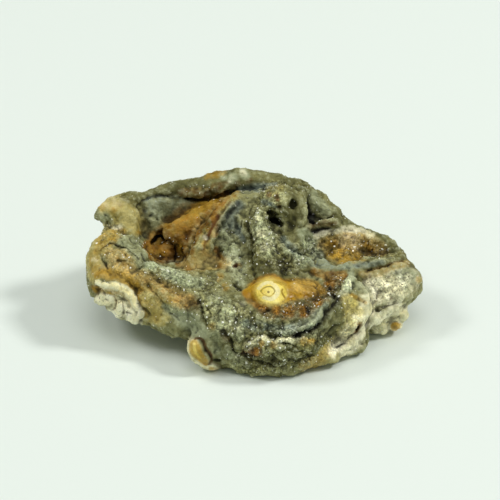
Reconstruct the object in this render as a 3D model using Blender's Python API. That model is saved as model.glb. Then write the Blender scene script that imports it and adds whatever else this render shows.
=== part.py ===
"""A chalcedony rose: one stone of folded chalcedony, 57 mm across, that rests on a small flat spot.

The stone is a thick, tilted plate with curling ridges on top. It is built up from folds (upright
walls with a rounded crest) and lobes (ellipsoids), grown together into one skin. Grooves and
hollows are then cut into that skin, soft dents are pressed in, and the underside is cut flat where
the stone rests. All places are in millimetres, with +X to the right, +Y to the back and +Z up.
"""
import math

import bmesh
import bpy
from mathutils import Euler, Matrix, Vector, noise

MM = 0.001

# Driving dimensions
STONE_LENGTH = 57.1 * MM
SKIN_CELL = 0.55 * MM
FINE_CELL = 0.45 * MM
SKIN_SMOOTHING = 5
CUT_SMOOTHING = 2
LUMP_HEIGHT = 0.35 * MM
LUMP_SPACING = 3.4 * MM
TRIANGLE_BUDGET = 9000

# The middle of the stone seen from above, and the height of its rest spot, in the places below
MIDDLE = (0.0, 3.21, 0.0)

# Fold profile: points on the rounded crest, and how far the foot spreads for each millimetre down
CREST_STEPS = 8
PATH_STEPS = 5
FOOT_SPREAD = 0.25

# Folds: crest points (x, y, z, half width), and the height of the foot
FOLDS = {
    "back rim": (12.0, [
        (-21.5, 12.5, 18.9, 1.7), (-18.0, 14.6, 18.6, 1.5), (-14.8, 16.2, 19.1, 1.8),
        (-10.5, 17.4, 19.0, 2.2), (-6.5, 18.2, 19.8, 2.4), (-2.0, 18.5, 20.2, 2.5),
        (2.5, 18.0, 19.8, 2.6), (6.5, 17.2, 19.2, 2.8), (9.5, 16.0, 17.9, 2.8),
    ]),
    "right back rim": (8.0, [
        (9.0, 15.5, 17.8, 2.6), (12.2, 14.4, 17.1, 2.2), (15.0, 12.8, 14.6, 1.9),
        (18.5, 11.0, 13.1, 1.7), (21.5, 9.0, 12.9, 1.6), (24.2, 6.5, 11.7, 1.5),
        (26.5, 3.8, 10.3, 1.5),
    ]),
    "left rim": (9.5, [
        (-22.0, 12.4, 18.4, 1.9), (-22.8, 10.6, 17.6, 2.6), (-22.2, 8.2, 16.0, 2.7),
        (-24.0, 5.5, 15.3, 4.1), (-24.4, 2.0, 14.2, 3.7), (-23.2, -1.0, 12.7, 3.2),
    ]),
    "front left rim": (6.5, [
        (-20.6, 0.2, 14.2, 1.6), (-17.4, -1.2, 13.6, 1.5), (-14.8, -1.8, 13.1, 1.5),
        (-11.8, -2.6, 12.4, 1.6), (-9.0, -3.4, 12.0, 1.8), (-6.5, -4.6, 11.7, 2.0),
    ]),
    "orange tongue": (8.5, [
        (-1.5, 14.2, 18.8, 1.4), (-4.2, 13.6, 18.0, 1.7), (-7.4, 12.6, 17.2, 1.9),
        (-10.6, 11.6, 15.9, 2.2), (-13.8, 10.4, 14.4, 2.2), (-16.2, 9.4, 13.0, 1.7),
    ]),
    "orange slope": (8.5, [
        (-3.6, 12.6, 17.4, 1.8), (-6.4, 11.4, 16.3, 2.1), (-9.6, 9.6, 14.3, 2.2), (-12.2, 8.0, 12.4, 1.9),
    ]),
    "valley bed": (7.0, [
        (-3.4, 9.4, 15.2, 2.4), (-3.0, 6.0, 13.9, 2.6), (-2.6, 2.6, 12.6, 2.7),
        (-2.4, -1.0, 12.0, 2.6), (-2.0, -4.4, 11.2, 2.4),
    ]),
    "petal": (8.0, [
        (1.5, 14.0, 19.4, 1.5), (-2.4, 12.8, 18.8, 1.3), (-4.8, 11.0, 17.8, 1.4),
        (-6.6, 8.8, 16.6, 1.6), (-8.1, 6.5, 14.9, 1.7), (-9.8, 4.6, 13.1, 1.5),
        (-11.6, 3.2, 11.7, 1.0),
    ]),
    "central fold": (7.0, [
        (2.0, 11.5, 18.9, 1.8), (0.8, 8.7, 17.5, 1.6), (1.2, 6.2, 15.7, 1.8),
        (1.8, 3.4, 14.4, 2.1), (2.4, 0.6, 13.5, 2.4), (2.8, -2.5, 12.5, 2.6),
    ]),
    "side ridge": (8.0, [
        (-0.6, 10.0, 17.0, 0.9), (-2.2, 8.8, 15.9, 0.8), (-1.3, 7.2, 14.9, 0.8), (-0.7, 4.8, 13.8, 0.8),
    ]),
    "apex right ridge": (7.0, [
        (4.6, 13.4, 20.4, 1.7), (6.6, 12.9, 19.8, 1.3), (7.9, 11.2, 18.4, 1.1), (8.2, 9.2, 16.8, 1.1),
        (7.6, 7.4, 15.2, 1.2), (7.4, 5.0, 13.8, 1.6),
    ]),
    "small right ridge": (8.0, [
        (8.8, 8.6, 14.9, 0.9), (11.2, 10.4, 15.0, 0.9), (14.0, 11.2, 14.6, 0.9), (14.6, 9.8, 13.4, 0.8),
    ]),
    "blue ridge": (5.0, [
        (5.0, 4.8, 13.5, 1.1), (7.0, 2.8, 13.0, 1.2), (9.5, 1.4, 12.7, 1.2), (12.0, 0.8, 12.2, 1.1),
        (15.2, 0.9, 12.0, 1.1), (18.0, 1.4, 12.3, 1.2), (22.0, 2.5, 12.4, 1.2), (25.0, 3.2, 11.8, 1.3),
        (28.0, 2.1, 9.8, 1.3),
    ]),
    "cream band": (8.5, [
        (-25.0, -1.4, 11.2, 1.1), (-23.6, -2.6, 10.9, 1.6), (-21.3, -3.8, 10.3, 1.6),
        (-19.7, -5.0, 9.0, 1.6), (-19.0, -5.6, 7.6, 1.6),
    ]),
    "druse lip": (8.0, [
        (0.5, -11.2, 11.0, 1.4), (4.2, -12.0, 10.8, 1.5), (8.0, -11.4, 11.2, 1.5), (11.2, -9.4, 12.0, 1.4),
        (13.8, -7.2, 12.2, 1.3), (15.4, -4.6, 12.9, 1.3), (16.0, -1.8, 12.6, 1.3),
    ]),
    "tan crest": (5.0, [
        (-1.2, -13.2, 7.3, 1.3), (1.2, -13.7, 8.1, 1.3), (3.6, -14.0, 7.9, 1.3), (6.4, -13.7, 8.5, 1.3),
        (9.4, -12.0, 9.2, 1.2),
    ]),
    "cream edge": (4.5, [
        (19.2, -2.4, 10.4, 1.1), (19.6, -4.2, 7.8, 1.1), (18.4, -6.0, 5.4, 1.1), (16.0, -8.2, 4.2, 1.1),
        (13.2, -10.0, 3.2, 1.2),
    ]),
}

# Lobes: centre, radii (both in millimetres) and turn (in degrees)
LOBES = {
    "core": ((0.0, 1.0, 5.6), (16.0, 14.0, 6.2), (0, 0, 0)),
    "left wing": ((-16.5, 3.5, 7.4), (10.5, 9.0, 3.0), (0, 6, 8)),
    "right wing": ((16.0, 3.5, 6.4), (11.0, 9.5, 4.2), (0, -2, 0)),
    "right chunk": ((17.4, 3.4, 3.8), (8.2, 7.0, 4.0), (0, 0, 10)),
    "back mass": ((-3.0, 15.0, 9.0), (16.0, 5.5, 5.5), (0, 0, 0)),
    "back left mass": ((-16.5, 9.0, 8.6), (8.0, 6.5, 3.0), (0, 0, 20)),
    "back right mass": ((8.0, 12.0, 9.0), (5.6, 5.8, 5.6), (0, 0, -10)),
    "apex": ((4.2, 12.4, 15.6), (3.6, 3.4, 4.9), (0, 0, 0)),
    "back left bulge": ((-19.6, 12.8, 12.2), (4.2, 2.9, 4.2), (0, 0, 20)),
    "back bulge left": ((-12.4, 17.0, 12.8), (5.6, 3.2, 4.4), (0, 0, 12)),
    "back bulge": ((-2.6, 18.2, 13.4), (6.8, 3.4, 4.8), (0, 0, 0)),
    "back bulge right": ((7.6, 16.2, 12.2), (5.6, 3.4, 4.8), (0, 0, -18)),
    "back bulge low": ((-7.4, 14.4, 8.2), (7.4, 4.6, 3.6), (0, 0, 8)),
    "back bulge low right": ((4.6, 13.6, 6.8), (7.4, 4.6, 3.8), (0, 0, -14)),
    "right back bulge": ((15.4, 9.4, 8.6), (5.6, 4.2, 3.8), (0, 0, -34)),
    "right back bulge end": ((22.0, 5.6, 8.0), (4.6, 3.6, 3.2), (0, 0, -30)),
    "fold flank": ((5.4, 6.4, 11.6), (3.0, 4.0, 3.0), (0, 0, 0)),
    "under left": ((-17.4, 1.4, 6.6), (5.2, 4.6, 2.2), (0, 0, 0)),
    "under left back": ((-14.6, 8.4, 6.0), (5.6, 4.6, 2.6), (0, 0, 0)),
    "under back": ((-5.0, 8.4, 2.6), (7.0, 5.4, 2.7), (0, 0, 0)),
    "under right": ((9.6, 5.4, 1.9), (6.6, 5.4, 2.3), (0, 0, 0)),
    "front nose": ((3.0, -6.2, 5.4), (10.6, 7.4, 6.8), (12, 0, 0)),
    "nose foot": ((2.6, -9.8, 3.4), (9.6, 5.3, 4.8), (0, 0, 0)),
    "nose right foot": ((10.2, -10.2, 2.3), (3.4, 2.6, 2.4), (0, 0, 0)),
    "nose left": ((-5.8, -7.0, 7.0), (5.2, 5.6, 5.0), (10, 0, 0)),
    "front left face": ((-13.0, -2.8, 8.6), (8.0, 5.0, 4.2), (14, 0, -14)),
    "front left foot": ((-12.6, -4.6, 6.4), (6.2, 4.6, 3.4), (0, 0, -14)),
    "left lobe": ((-22.4, 1.8, 10.6), (5.2, 6.4, 4.0), (0, 0, 0)),
    "left knob": ((-22.8, 11.2, 15.8), (3.6, 2.9, 3.0), (0, 0, 0)),
    "left knob tip": ((-25.3, 10.6, 16.5), (2.0, 1.8, 2.0), (0, 0, 0)),
    "rim end knob": ((-21.6, 13.0, 17.6), (2.0, 1.8, 1.8), (0, 0, 0)),
    "left nodule": ((-23.4, 1.2, 12.6), (2.6, 2.2, 1.8), (0, 0, 0)),
    "white nodule": ((-23.2, -2.2, 7.6), (2.6, 2.2, 2.0), (0, 0, 0)),
    "white nodule low": ((-21.2, -3.6, 6.2), (2.3, 2.0, 1.8), (0, 0, 0)),
    "granular face": ((22.4, 1.2, 8.6), (5.3, 4.0, 2.7), (0, 20, 0)),
    "front right face": ((14.6, -4.0, 6.8), (5.2, 5.0, 5.8), (0, 0, 0)),
    "second flange": ((15.9, -6.2, 1.9), (3.2, 3.0, 2.1), (0, 0, 0)),
    "chunk lobe": ((24.0, -0.2, 4.4), (1.9, 1.8, 1.8), (0, 0, 0)),
    "chunk lobe low": ((21.0, -1.3, 2.2), (2.6, 2.1, 2.1), (0, 0, 0)),
    "ochre nodule": ((23.7, -1.2, 2.2), (1.5, 1.4, 1.4), (0, 0, 0)),
    "eye dome": ((2.4, -6.9, 11.9), (2.7, 2.5, 1.5), (14, 0, 0)),
    "honey nodule": ((-8.1, -11.5, 3.1), (2.6, 2.0, 4.1), (0, -38, 15)),
}

# Grooves: places along a round cutter (x, y, z, radius)
GROOVES = {
    "crevice under the rim": [
        (-20.2, 12.0, 16.6, 0.6), (-17.8, 14.2, 17.3, 0.7), (-15.0, 15.4, 17.1, 0.8),
        (-11.9, 16.0, 16.8, 0.9), (-9.0, 16.2, 16.4, 1.0), (-6.4, 16.2, 16.8, 0.9),
        (-3.6, 16.0, 17.6, 0.8), (-1.0, 15.6, 18.4, 0.5),
    ],
    "crevice by the central fold": [
        (3.4, 9.6, 16.4, 1.2), (4.0, 7.2, 15.2, 0.8), (4.4, 5.2, 13.9, 0.6), (5.6, 2.6, 13.0, 0.5),
        (7.4, 0.8, 12.5, 0.4),
    ],
    "trough": [
        (9.2, 13.0, 17.4, 0.8), (9.4, 10.8, 15.8, 0.9), (9.8, 9.2, 14.6, 0.7),
    ],
    "nose right crevice": [
        (13.8, -7.6, 11.4, 0.4), (12.4, -9.2, 10.0, 0.6), (10.6, -11.0, 8.6, 0.6), (8.0, -13.4, 7.8, 0.5),
    ],
    "gap by the cream edge": [
        (20.9, -1.2, 6.2, 0.5), (20.6, -2.0, 4.8, 0.9), (19.9, -3.2, 3.0, 0.8), (19.4, -4.2, 1.0, 0.8),
    ],
    "line above the chunk lobe": [
        (20.7, -1.4, 5.0, 0.4), (22.6, -0.8, 5.8, 0.35), (24.4, 0.2, 5.8, 0.35),
    ],
    "front left crevice": [
        (-8.8, -7.2, 11.0, 0.4), (-8.6, -8.8, 9.6, 0.5), (-8.4, -10.0, 8.0, 0.4),
    ],
}

# Hollows: centre, radii and turn of a round cutter
HOLLOWS = {
    "black hole": ((3.2, 9.6, 15.9), (1.3, 2.6, 1.3), (0, 0, 0)),
    "arch hole": ((-15.6, 10.4, 11.6), (1.8, 2.6, 1.2), (0, 0, 0)),
    "cavity hole": ((-12.8, 8.0, 10.2), (1.3, 1.6, 1.1), (0, 0, 0)),
    "ridge hollow": ((6.6, 11.0, 17.9), (0.9, 1.4, 1.3), (0, 0, 0)),
    "flange hollow": ((17.4, -6.6, 3.9), (0.8, 1.4, 1.1), (0, 0, 0)),
}

# Presses: places along the line, reach around it, and the push in x, y and z
PRESSES = {
    "left basin": ([(-15.5, 5.0, 11.0), (-12.5, 4.5, 11.0), (-8.0, 3.0, 11.0)], 3.2, (0.0, 0.4, -0.9)),
    "rust cavity": ([(-17.0, 7.0, 11.0), (-14.0, 7.4, 10.6), (-12.4, 7.0, 10.8)], 2.2, (0.0, 1.2, -2.0)),
    "valley": ([(-3.6, 8.4, 15.0), (-2.6, 3.5, 12.6), (-2.6, -1.5, 11.8)], 2.4, (0.0, 0.0, -1.0)),
    "right basin": ([(13.0, 6.6, 12.0), (17.0, 7.0, 11.6), (21.0, 6.2, 11.6)], 3.6, (0.0, 0.4, -0.8)),
    "honey pool": ([(0.5, -7.6, 12.6), (6.0, -7.4, 12.8), (10.6, -6.6, 12.6)], 2.4, (0.0, 0.2, -0.9)),
    "blue band": ([(0.5, -13.0, 9.6), (4.0, -13.6, 9.4), (8.0, -12.6, 9.8)], 1.3, (0.0, 0.8, 0.3)),
    "nose foot": ([(-3.0, -14.0, 4.0), (3.0, -14.5, 4.0), (9.0, -13.5, 4.5)], 2.2, (0.0, 0.9, 0.0)),
}


def place(point):
    """A place in millimetres as a vector in metres from the stone's middle."""
    return (Vector(point[:3]) - Vector(MIDDLE)) * MM


def smooth_path(points):
    """Round a list of places of any number of values into a finer one that passes through them."""
    ends = [points[0], *points, points[-1]]
    path = []
    for before, start, stop, after in zip(ends, ends[1:], ends[2:], ends[3:]):
        for step in range(PATH_STEPS):
            t = step / PATH_STEPS
            weights = (
                0.5 * (2 * t ** 2 - t ** 3 - t),
                0.5 * (2 - 5 * t ** 2 + 3 * t ** 3),
                0.5 * (t + 4 * t ** 2 - 3 * t ** 3),
                0.5 * (t ** 3 - t ** 2),
            )
            columns = zip(before, start, stop, after)
            path.append(tuple(sum(w * v for w, v in zip(weights, column)) for column in columns))
    return path + [points[-1]]


def add_lobe(bm, centre, radii, turn):
    """Add an ellipsoid to the mesh."""
    turned = Euler([math.radians(angle) for angle in turn]).to_matrix().to_4x4()
    size = Matrix.Diagonal((*[r * MM for r in radii], 1.0))
    matrix = Matrix.Translation(place(centre)) @ turned @ size
    bmesh.ops.create_icosphere(bm, subdivisions=4, radius=1.0, matrix=matrix)


def add_rings(bm, rings):
    """Join rows of places into one closed tube with filled ends."""
    rows = [[bm.verts.new(p) for p in ring] for ring in rings]
    for near, far in zip(rows, rows[1:]):
        for i in range(len(near)):
            j = (i + 1) % len(near)
            bm.faces.new((near[i], near[j], far[j], far[i]))
    bm.faces.new(rows[0][::-1])
    bm.faces.new(rows[-1])


def fold_ring(x, y, z, half, side, foot):
    """One cross section of a fold: a round crest over two straight sides that spread to the foot."""
    up = Vector((0.0, 0.0, 1.0))
    centre = Vector((x, y, z - half))
    angles = [math.pi * (step / CREST_STEPS - 0.5) for step in range(CREST_STEPS + 1)]
    ring = [centre + (side * math.sin(a) + up * math.cos(a)) * half for a in angles]
    spread = half + FOOT_SPREAD * max(z - half - foot, 0.0)
    bottom = Vector((x, y, min(foot, z - 2 * half)))
    ring += [bottom + side * spread, bottom - side * spread]
    return [place(p) for p in ring]


def add_fold(bm, foot, points):
    """Add an upright wall whose rounded crest runs along the points."""
    path = smooth_path(points)
    rings = []
    for i, (x, y, z, half) in enumerate(path):
        ahead = path[min(i + 1, len(path) - 1)]
        behind = path[max(i - 1, 0)]
        along = Vector((ahead[0] - behind[0], ahead[1] - behind[1], 0.0)).normalized()
        side = Vector((-along.y, along.x, 0.0))
        rings.append(fold_ring(x, y, z, half, side, foot))
    add_rings(bm, rings)


def add_groove(bm, points):
    """Add a round, bent cutter with the points' radii."""
    for x, y, z, radius in smooth_path(points):
        add_lobe(bm, (x, y, z), (radius,) * 3, (0, 0, 0))


def new_object(name, bm):
    """Put a mesh into the scene under a name, with its faces pointing outwards."""
    bmesh.ops.recalc_face_normals(bm, faces=bm.faces)
    mesh = bpy.data.meshes.new(name)
    bm.to_mesh(mesh)
    bm.free()
    thing = bpy.data.objects.new(name, mesh)
    bpy.context.scene.collection.objects.link(thing)
    return thing


def settle(thing):
    """Apply the modifiers that stand on an object to its mesh."""
    depsgraph = bpy.context.evaluated_depsgraph_get()
    mesh = bpy.data.meshes.new_from_object(thing.evaluated_get(depsgraph))
    thing.modifiers.clear()
    old = thing.data
    thing.data = mesh
    bpy.data.meshes.remove(old)


def grow_skin(thing, cell, smoothing):
    """Wrap overlapping shapes in one closed skin and round its seams."""
    skin = thing.modifiers.new("skin", "REMESH")
    skin.mode = "VOXEL"
    skin.voxel_size = cell
    soft = thing.modifiers.new("soft", "SMOOTH")
    soft.factor = 0.5
    soft.iterations = smoothing
    settle(thing)


def build_mass():
    """The stone's mass: every fold and lobe in one skin."""
    bm = bmesh.new()
    for foot, points in FOLDS.values():
        add_fold(bm, foot, points)
    for centre, radii, turn in LOBES.values():
        add_lobe(bm, centre, radii, turn)
    stone = new_object("chalcedony_rose", bm)
    grow_skin(stone, SKIN_CELL, SKIN_SMOOTHING)
    return stone


def press(thing, points, reach, push):
    """Push the skin near a line, fading out with the distance from it."""
    path = [place(p) for p in smooth_path(points)]
    push = Vector(push) * MM
    reach = reach * MM
    for vertex in thing.data.vertices:
        nearest = min((vertex.co - p).length for p in path)
        if nearest < reach:
            vertex.co += push * (0.5 + 0.5 * math.cos(math.pi * nearest / reach))


def lump(thing):
    """Make the skin slightly uneven everywhere, as grown chalcedony is."""
    normals = [v.normal.copy() for v in thing.data.vertices]
    for vertex, normal in zip(thing.data.vertices, normals):
        wave = noise.noise(vertex.co / LUMP_SPACING)
        vertex.co += normal * wave * LUMP_HEIGHT


def cut_hollows(stone):
    """Cut the grooves and holes out of the skin."""
    bm = bmesh.new()
    for points in GROOVES.values():
        add_groove(bm, points)
    for centre, radii, turn in HOLLOWS.values():
        add_lobe(bm, centre, radii, turn)
    cutter = new_object("groove_cutter", bm)
    cutter.hide_render = True
    cutter.display_type = "WIRE"
    grow_skin(cutter, FINE_CELL, 1)
    cut = stone.modifiers.new("grooves", "BOOLEAN")
    cut.operation = "DIFFERENCE"
    cut.solver = "EXACT"
    cut.object = cutter
    settle(stone)
    bpy.data.objects.remove(cutter)


def thin_out(stone):
    """Merge small faces until the skin keeps to its triangle budget."""
    count = sum(len(polygon.vertices) - 2 for polygon in stone.data.polygons)
    thin = stone.modifiers.new("thin", "DECIMATE")
    thin.ratio = TRIANGLE_BUDGET / count
    thin.use_collapse_triangulate = True
    settle(stone)


def rest_flat(stone):
    """Cut the underside flat, size the stone by its length and set the origin below its middle."""
    bm = bmesh.new()
    bm.from_mesh(stone.data)
    skin = bm.verts[:] + bm.edges[:] + bm.faces[:]
    cut = bmesh.ops.bisect_plane(bm, geom=skin, plane_co=(0, 0, 0), plane_no=(0, 0, 1), clear_inner=True)
    rim = [edge for edge in cut["geom_cut"] if isinstance(edge, bmesh.types.BMEdge)]
    bmesh.ops.holes_fill(bm, edges=rim, sides=0)
    bmesh.ops.triangulate(bm, faces=bm.faces[:])
    low = [min(v.co[axis] for v in bm.verts) for axis in range(3)]
    high = [max(v.co[axis] for v in bm.verts) for axis in range(3)]
    middle = Vector(((low[0] + high[0]) / 2, (low[1] + high[1]) / 2, low[2]))
    bmesh.ops.translate(bm, verts=bm.verts, vec=-middle)
    bmesh.ops.scale(bm, verts=bm.verts, vec=(STONE_LENGTH / (high[0] - low[0]),) * 3)
    bm.to_mesh(stone.data)
    bm.free()


def stone_material():
    """Grey-green chalcedony, slightly glossy."""
    material = bpy.data.materials.new("chalcedony")
    material.use_nodes = True
    shader = material.node_tree.nodes["Principled BSDF"]
    shader.inputs["Base Color"].default_value = (0.32, 0.31, 0.22, 1.0)
    shader.inputs["Roughness"].default_value = 0.55
    shader.inputs["Metallic"].default_value = 0.0
    return material


def main():
    """Build the stone."""
    for thing in list(bpy.data.objects):
        bpy.data.objects.remove(thing)
    stone = build_mass()
    for points, reach, push in PRESSES.values():
        press(stone, points, reach, push)
    lump(stone)
    cut_hollows(stone)
    grow_skin(stone, FINE_CELL, CUT_SMOOTHING)
    thin_out(stone)
    rest_flat(stone)
    stone.data.materials.clear()
    stone.data.materials.append(stone_material())
    stone.data.shade_smooth()


main()
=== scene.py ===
"""Looks of a chalcedony rose: its fine skin, its quartz sugar, its stains, and a plain pale studio.

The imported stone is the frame. A finer skin is grown over it, and the folds, crevices, pits and rings
that the photograph shows are worked into that skin. They are named by the photograph's pixels, in its
frame of 500 by 500, and laid onto the stone along the camera's own rays. Sizes are in millimetres.
"""

import logging
import math
from dataclasses import dataclass, field
from enum import Enum

import bmesh
import bpy
import numpy as np
from mathutils import Matrix, Vector
from mathutils.bvhtree import BVHTree


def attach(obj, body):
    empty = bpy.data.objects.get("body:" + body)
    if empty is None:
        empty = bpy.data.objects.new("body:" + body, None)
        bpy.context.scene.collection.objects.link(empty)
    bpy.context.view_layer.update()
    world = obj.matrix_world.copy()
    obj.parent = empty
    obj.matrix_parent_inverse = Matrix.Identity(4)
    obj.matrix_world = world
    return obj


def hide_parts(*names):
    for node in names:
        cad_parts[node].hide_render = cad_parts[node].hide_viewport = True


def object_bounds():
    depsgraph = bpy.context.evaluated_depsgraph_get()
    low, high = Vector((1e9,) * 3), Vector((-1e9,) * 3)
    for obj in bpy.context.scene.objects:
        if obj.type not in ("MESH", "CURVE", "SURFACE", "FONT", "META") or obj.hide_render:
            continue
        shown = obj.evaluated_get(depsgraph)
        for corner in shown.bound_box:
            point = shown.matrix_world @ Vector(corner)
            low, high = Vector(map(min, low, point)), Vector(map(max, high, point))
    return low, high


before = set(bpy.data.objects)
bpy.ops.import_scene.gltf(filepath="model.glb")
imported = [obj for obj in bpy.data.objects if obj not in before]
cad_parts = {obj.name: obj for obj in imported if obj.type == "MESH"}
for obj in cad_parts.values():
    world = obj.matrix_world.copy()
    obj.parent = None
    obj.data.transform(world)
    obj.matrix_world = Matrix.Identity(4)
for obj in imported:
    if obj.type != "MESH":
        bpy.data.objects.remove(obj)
cad_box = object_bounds()

logging.basicConfig(level=logging.INFO, format="%(message)s")
log = logging.getLogger("rose")

MM = 0.001
NODE = "chalcedony_rose"
BODY = "root"
PHOTO_SIDE = 500
CREASE_SPREAD = 1.5
BOX_MARGIN = 0.01 * MM


def srgb(red: int, green: int, blue: int) -> tuple[float, float, float, float]:
    """Turn a colour as a screen shows it into a linear colour.

    Args:
        red: red from 0 to 255.
        green: green from 0 to 255.
        blue: blue from 0 to 255.

    Returns:
        The linear colour with full alpha.
    """
    parts = [value / 255.0 for value in (red, green, blue)]
    linear = [c / 12.92 if c <= 0.04045 else ((c + 0.055) / 1.055) ** 2.4 for c in parts]
    return (*linear, 1.0)


def ease(values: np.ndarray) -> np.ndarray:
    """Clamp values from 0 to 1 and soften both ends."""
    inside = np.clip(values, 0.0, 1.0)
    return inside * inside * (3.0 - 2.0 * inside)


class Profile(Enum):
    """Cross section of a mark that is worked into the skin."""

    ROUND = "round"
    CREASE = "crease"
    SHARP = "sharp"
    DOME = "dome"
    STEP = "step"

    def height(self, reach: np.ndarray) -> np.ndarray:
        """Height of the profile.

        Args:
            reach: distance from the mark's middle, 1 at its edge.

        Returns:
            Height from 0 at the edge to 1 in the middle.
        """
        q = np.clip(reach, 0.0, 1.0)
        if self is Profile.ROUND:
            return 0.5 + 0.5 * np.cos(math.pi * q)
        if self is Profile.CREASE:
            return (1.0 - q) ** 2
        if self is Profile.SHARP:
            sharpness = 1.6
            return (1.0 - q) ** sharpness
        if self is Profile.DOME:
            return np.sqrt(1.0 - q * q)
        wall = 0.35
        return ease((1.0 - q) / wall)


class Pigment(Enum):
    """What colours the stone. The first is the stone itself, and each of the others lies over it; the last is
    painted shade.
    """

    STONE = "stone"
    SAGE = "sage"
    STRAW = "straw"
    SAND = "sand"
    SLATE = "slate"
    OLIVE = "olive"
    OCHRE = "ochre"
    RUST = "rust"
    UMBER = "umber"
    CREAM = "cream"
    HONEY = "honey"
    IVORY = "ivory"
    # Near-black painted shade, laid into crevices, holes, pits and recesses
    PAINTED_SHADE = "painted_shade"


class Growth(Enum):
    """What else differs from place to place: quartz sugar, smooth skin and chalky skin."""

    SUGAR = "sugar"
    CALM = "calm"
    CHALK = "chalk"


@dataclass(frozen=True)
class Mark:
    """A crevice, ridge, pit or nodule along photo pixels: half width in pixels, height in millimetres,
    and how much painted shade darkens its bottom.
    """

    name: str
    path: tuple[tuple[float, float], ...]
    width: float
    height: float
    profile: Profile = Profile.ROUND
    recess_shade: float = 0.0

    @property
    def section(self) -> Profile:
        """The cross section: a groove with no other profile is a crease."""
        return Profile.CREASE if self.profile is Profile.ROUND and self.height < 0 else self.profile

    def rows(self) -> np.ndarray:
        """The path as rows of u, v and half width, where a crease is wider for its depth."""
        wide = self.width * (CREASE_SPREAD if self.section is Profile.CREASE else 1.0)
        return np.array([(u, v, wide) for u, v in self.path], dtype=float)


@dataclass(frozen=True)
class Stain:
    """A coloured or overgrown area, along spots of a photo pixel and a radius in pixels."""

    name: str
    kind: Pigment | Growth
    strength: float
    spots: tuple[tuple[float, float, float], ...]
    joined: bool = True
    crisp: float = 1.0


@dataclass(frozen=True)
class Patch:
    """A coloured area that the photograph doesn't show, as balls in millimetres."""

    name: str
    kind: Pigment | Growth
    strength: float
    balls: tuple[tuple[float, float, float, float], ...]


@dataclass(frozen=True)
class PhotoView:
    """The photograph's camera, which also lays its pixels onto the stone."""

    elevation: float = math.radians(34.0)
    distance: float = 450.0 * MM
    pixels_per_mm: float = 6.0
    target: tuple[float, float, float] = (-0.75 * MM, -3.21 * MM, 16.1 * MM)
    sensor: float = 36.0

    @property
    def focal_pixels(self) -> float:
        """Focal length in pixels."""
        return self.pixels_per_mm / MM * self.distance

    @property
    def forward(self) -> Vector:
        """Direction in which the camera looks."""
        return Vector((0.0, math.cos(self.elevation), -math.sin(self.elevation)))

    @property
    def upward(self) -> Vector:
        """The picture's upward direction."""
        return Vector((0.0, math.sin(self.elevation), math.cos(self.elevation)))

    @property
    def eye(self) -> Vector:
        """Where the camera stands."""
        return Vector(self.target) - self.forward * self.distance

    def ray(self, u: float, v: float) -> Vector:
        """Direction from the camera through a pixel.

        Args:
            u: pixels from the picture's left edge.
            v: pixels from its top edge.

        Returns:
            The unit direction.
        """
        half = PHOTO_SIDE / 2
        right = Vector((1.0, 0.0, 0.0)) * ((u - half) / self.focal_pixels)
        up = self.upward * ((half - v) / self.focal_pixels)
        return (self.forward + right + up).normalized()

    def project(self, points: np.ndarray) -> np.ndarray:
        """Pixels at which points show.

        Args:
            points: rows of x, y and z in metres.

        Returns:
            Rows of u and v.
        """
        rel = points - np.array(self.eye)
        depth = rel @ np.array(self.forward)
        half = PHOTO_SIDE / 2
        u = half + self.focal_pixels * rel[:, 0] / depth
        v = half - self.focal_pixels * (rel @ np.array(self.upward)) / depth
        return np.stack([u, v], axis=1)

    def build(self) -> None:
        """Make the scene's camera."""
        data = bpy.data.cameras.new("photo_view")
        data.sensor_width = self.sensor
        data.lens = self.sensor * self.focal_pixels / PHOTO_SIDE
        data.clip_start = 10.0 * MM
        camera = bpy.data.objects.new("photo_view", data)
        bpy.context.scene.collection.objects.link(camera)
        camera.location = self.eye
        camera.rotation_euler = self.forward.to_track_quat("-Z", "Y").to_euler()
        bpy.context.scene.camera = camera


VIEW = PhotoView()
EYE_MIDDLE = (283.0, 291.0)
EYE_REACH = (42.0, 18.0)
ORB_MIDDLE = (270.0, 292.0)
ORB_SURROUND = (25.0, 18.0)
ORB_REACH = (18.0, 13.5)


def wobble(points: np.ndarray, size: float, phase: float) -> np.ndarray:
    """A soft, irregular wave over the stone.

    The numbers in its three parts only keep them from repeating together.

    Args:
        points: rows of x, y and z in metres.
        size: length of the wave in millimetres.
        phase: offset that sets one wave apart from another.

    Returns:
        One value from -1 to 1 for each point.
    """
    x, y, z = (points / (size * MM)).T
    wave = np.sin(x * 1.7 + 2.1 * np.sin(y * 1.3 + phase) + phase)
    wave = wave + np.sin(y * 1.9 + 1.7 * np.sin(z * 1.6 + 2 * phase) + 3.1 * phase)
    wave = wave + np.sin(z * 2.3 + 1.9 * np.sin(x * 1.1 - phase) + 5.3 * phase)
    return wave / 3.0


def waver(points: np.ndarray, phase: float) -> np.ndarray:
    """How far the photo's pixels shift at each point, which makes drawn lines uneven as grown ones are.

    Args:
        points: rows of x, y and z in metres.
        phase: offset that sets one wave apart from another.

    Returns:
        A shift in pixels for each point.
    """
    broad = 1.5 * wobble(points, 2.7, phase)
    fine = 1.1 * wobble(points, 1.1, phase + 1.3)
    return broad + fine


def smooth_path(path: np.ndarray, steps: int) -> np.ndarray:
    """A soft curve through the points of a path.

    Args:
        path: rows of numbers.
        steps: pieces between two points.

    Returns:
        Rows along the curve.
    """
    if len(path) == 1:
        return path
    ends = np.vstack([2 * path[0] - path[1], path, 2 * path[-1] - path[-2]])
    rows = []
    for i in range(len(path) - 1):
        a, b, c, d = ends[i:i + 4]
        for step in range(steps):
            t = step / steps
            bend = 2 * a - 5 * b + 4 * c - d
            twist = 3 * b - a - 3 * c + d
            rows.append((2 * b + (c - a) * t + bend * t ** 2 + twist * t ** 3) / 2)
    rows.append(path[-1])
    return np.array(rows)


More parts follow.
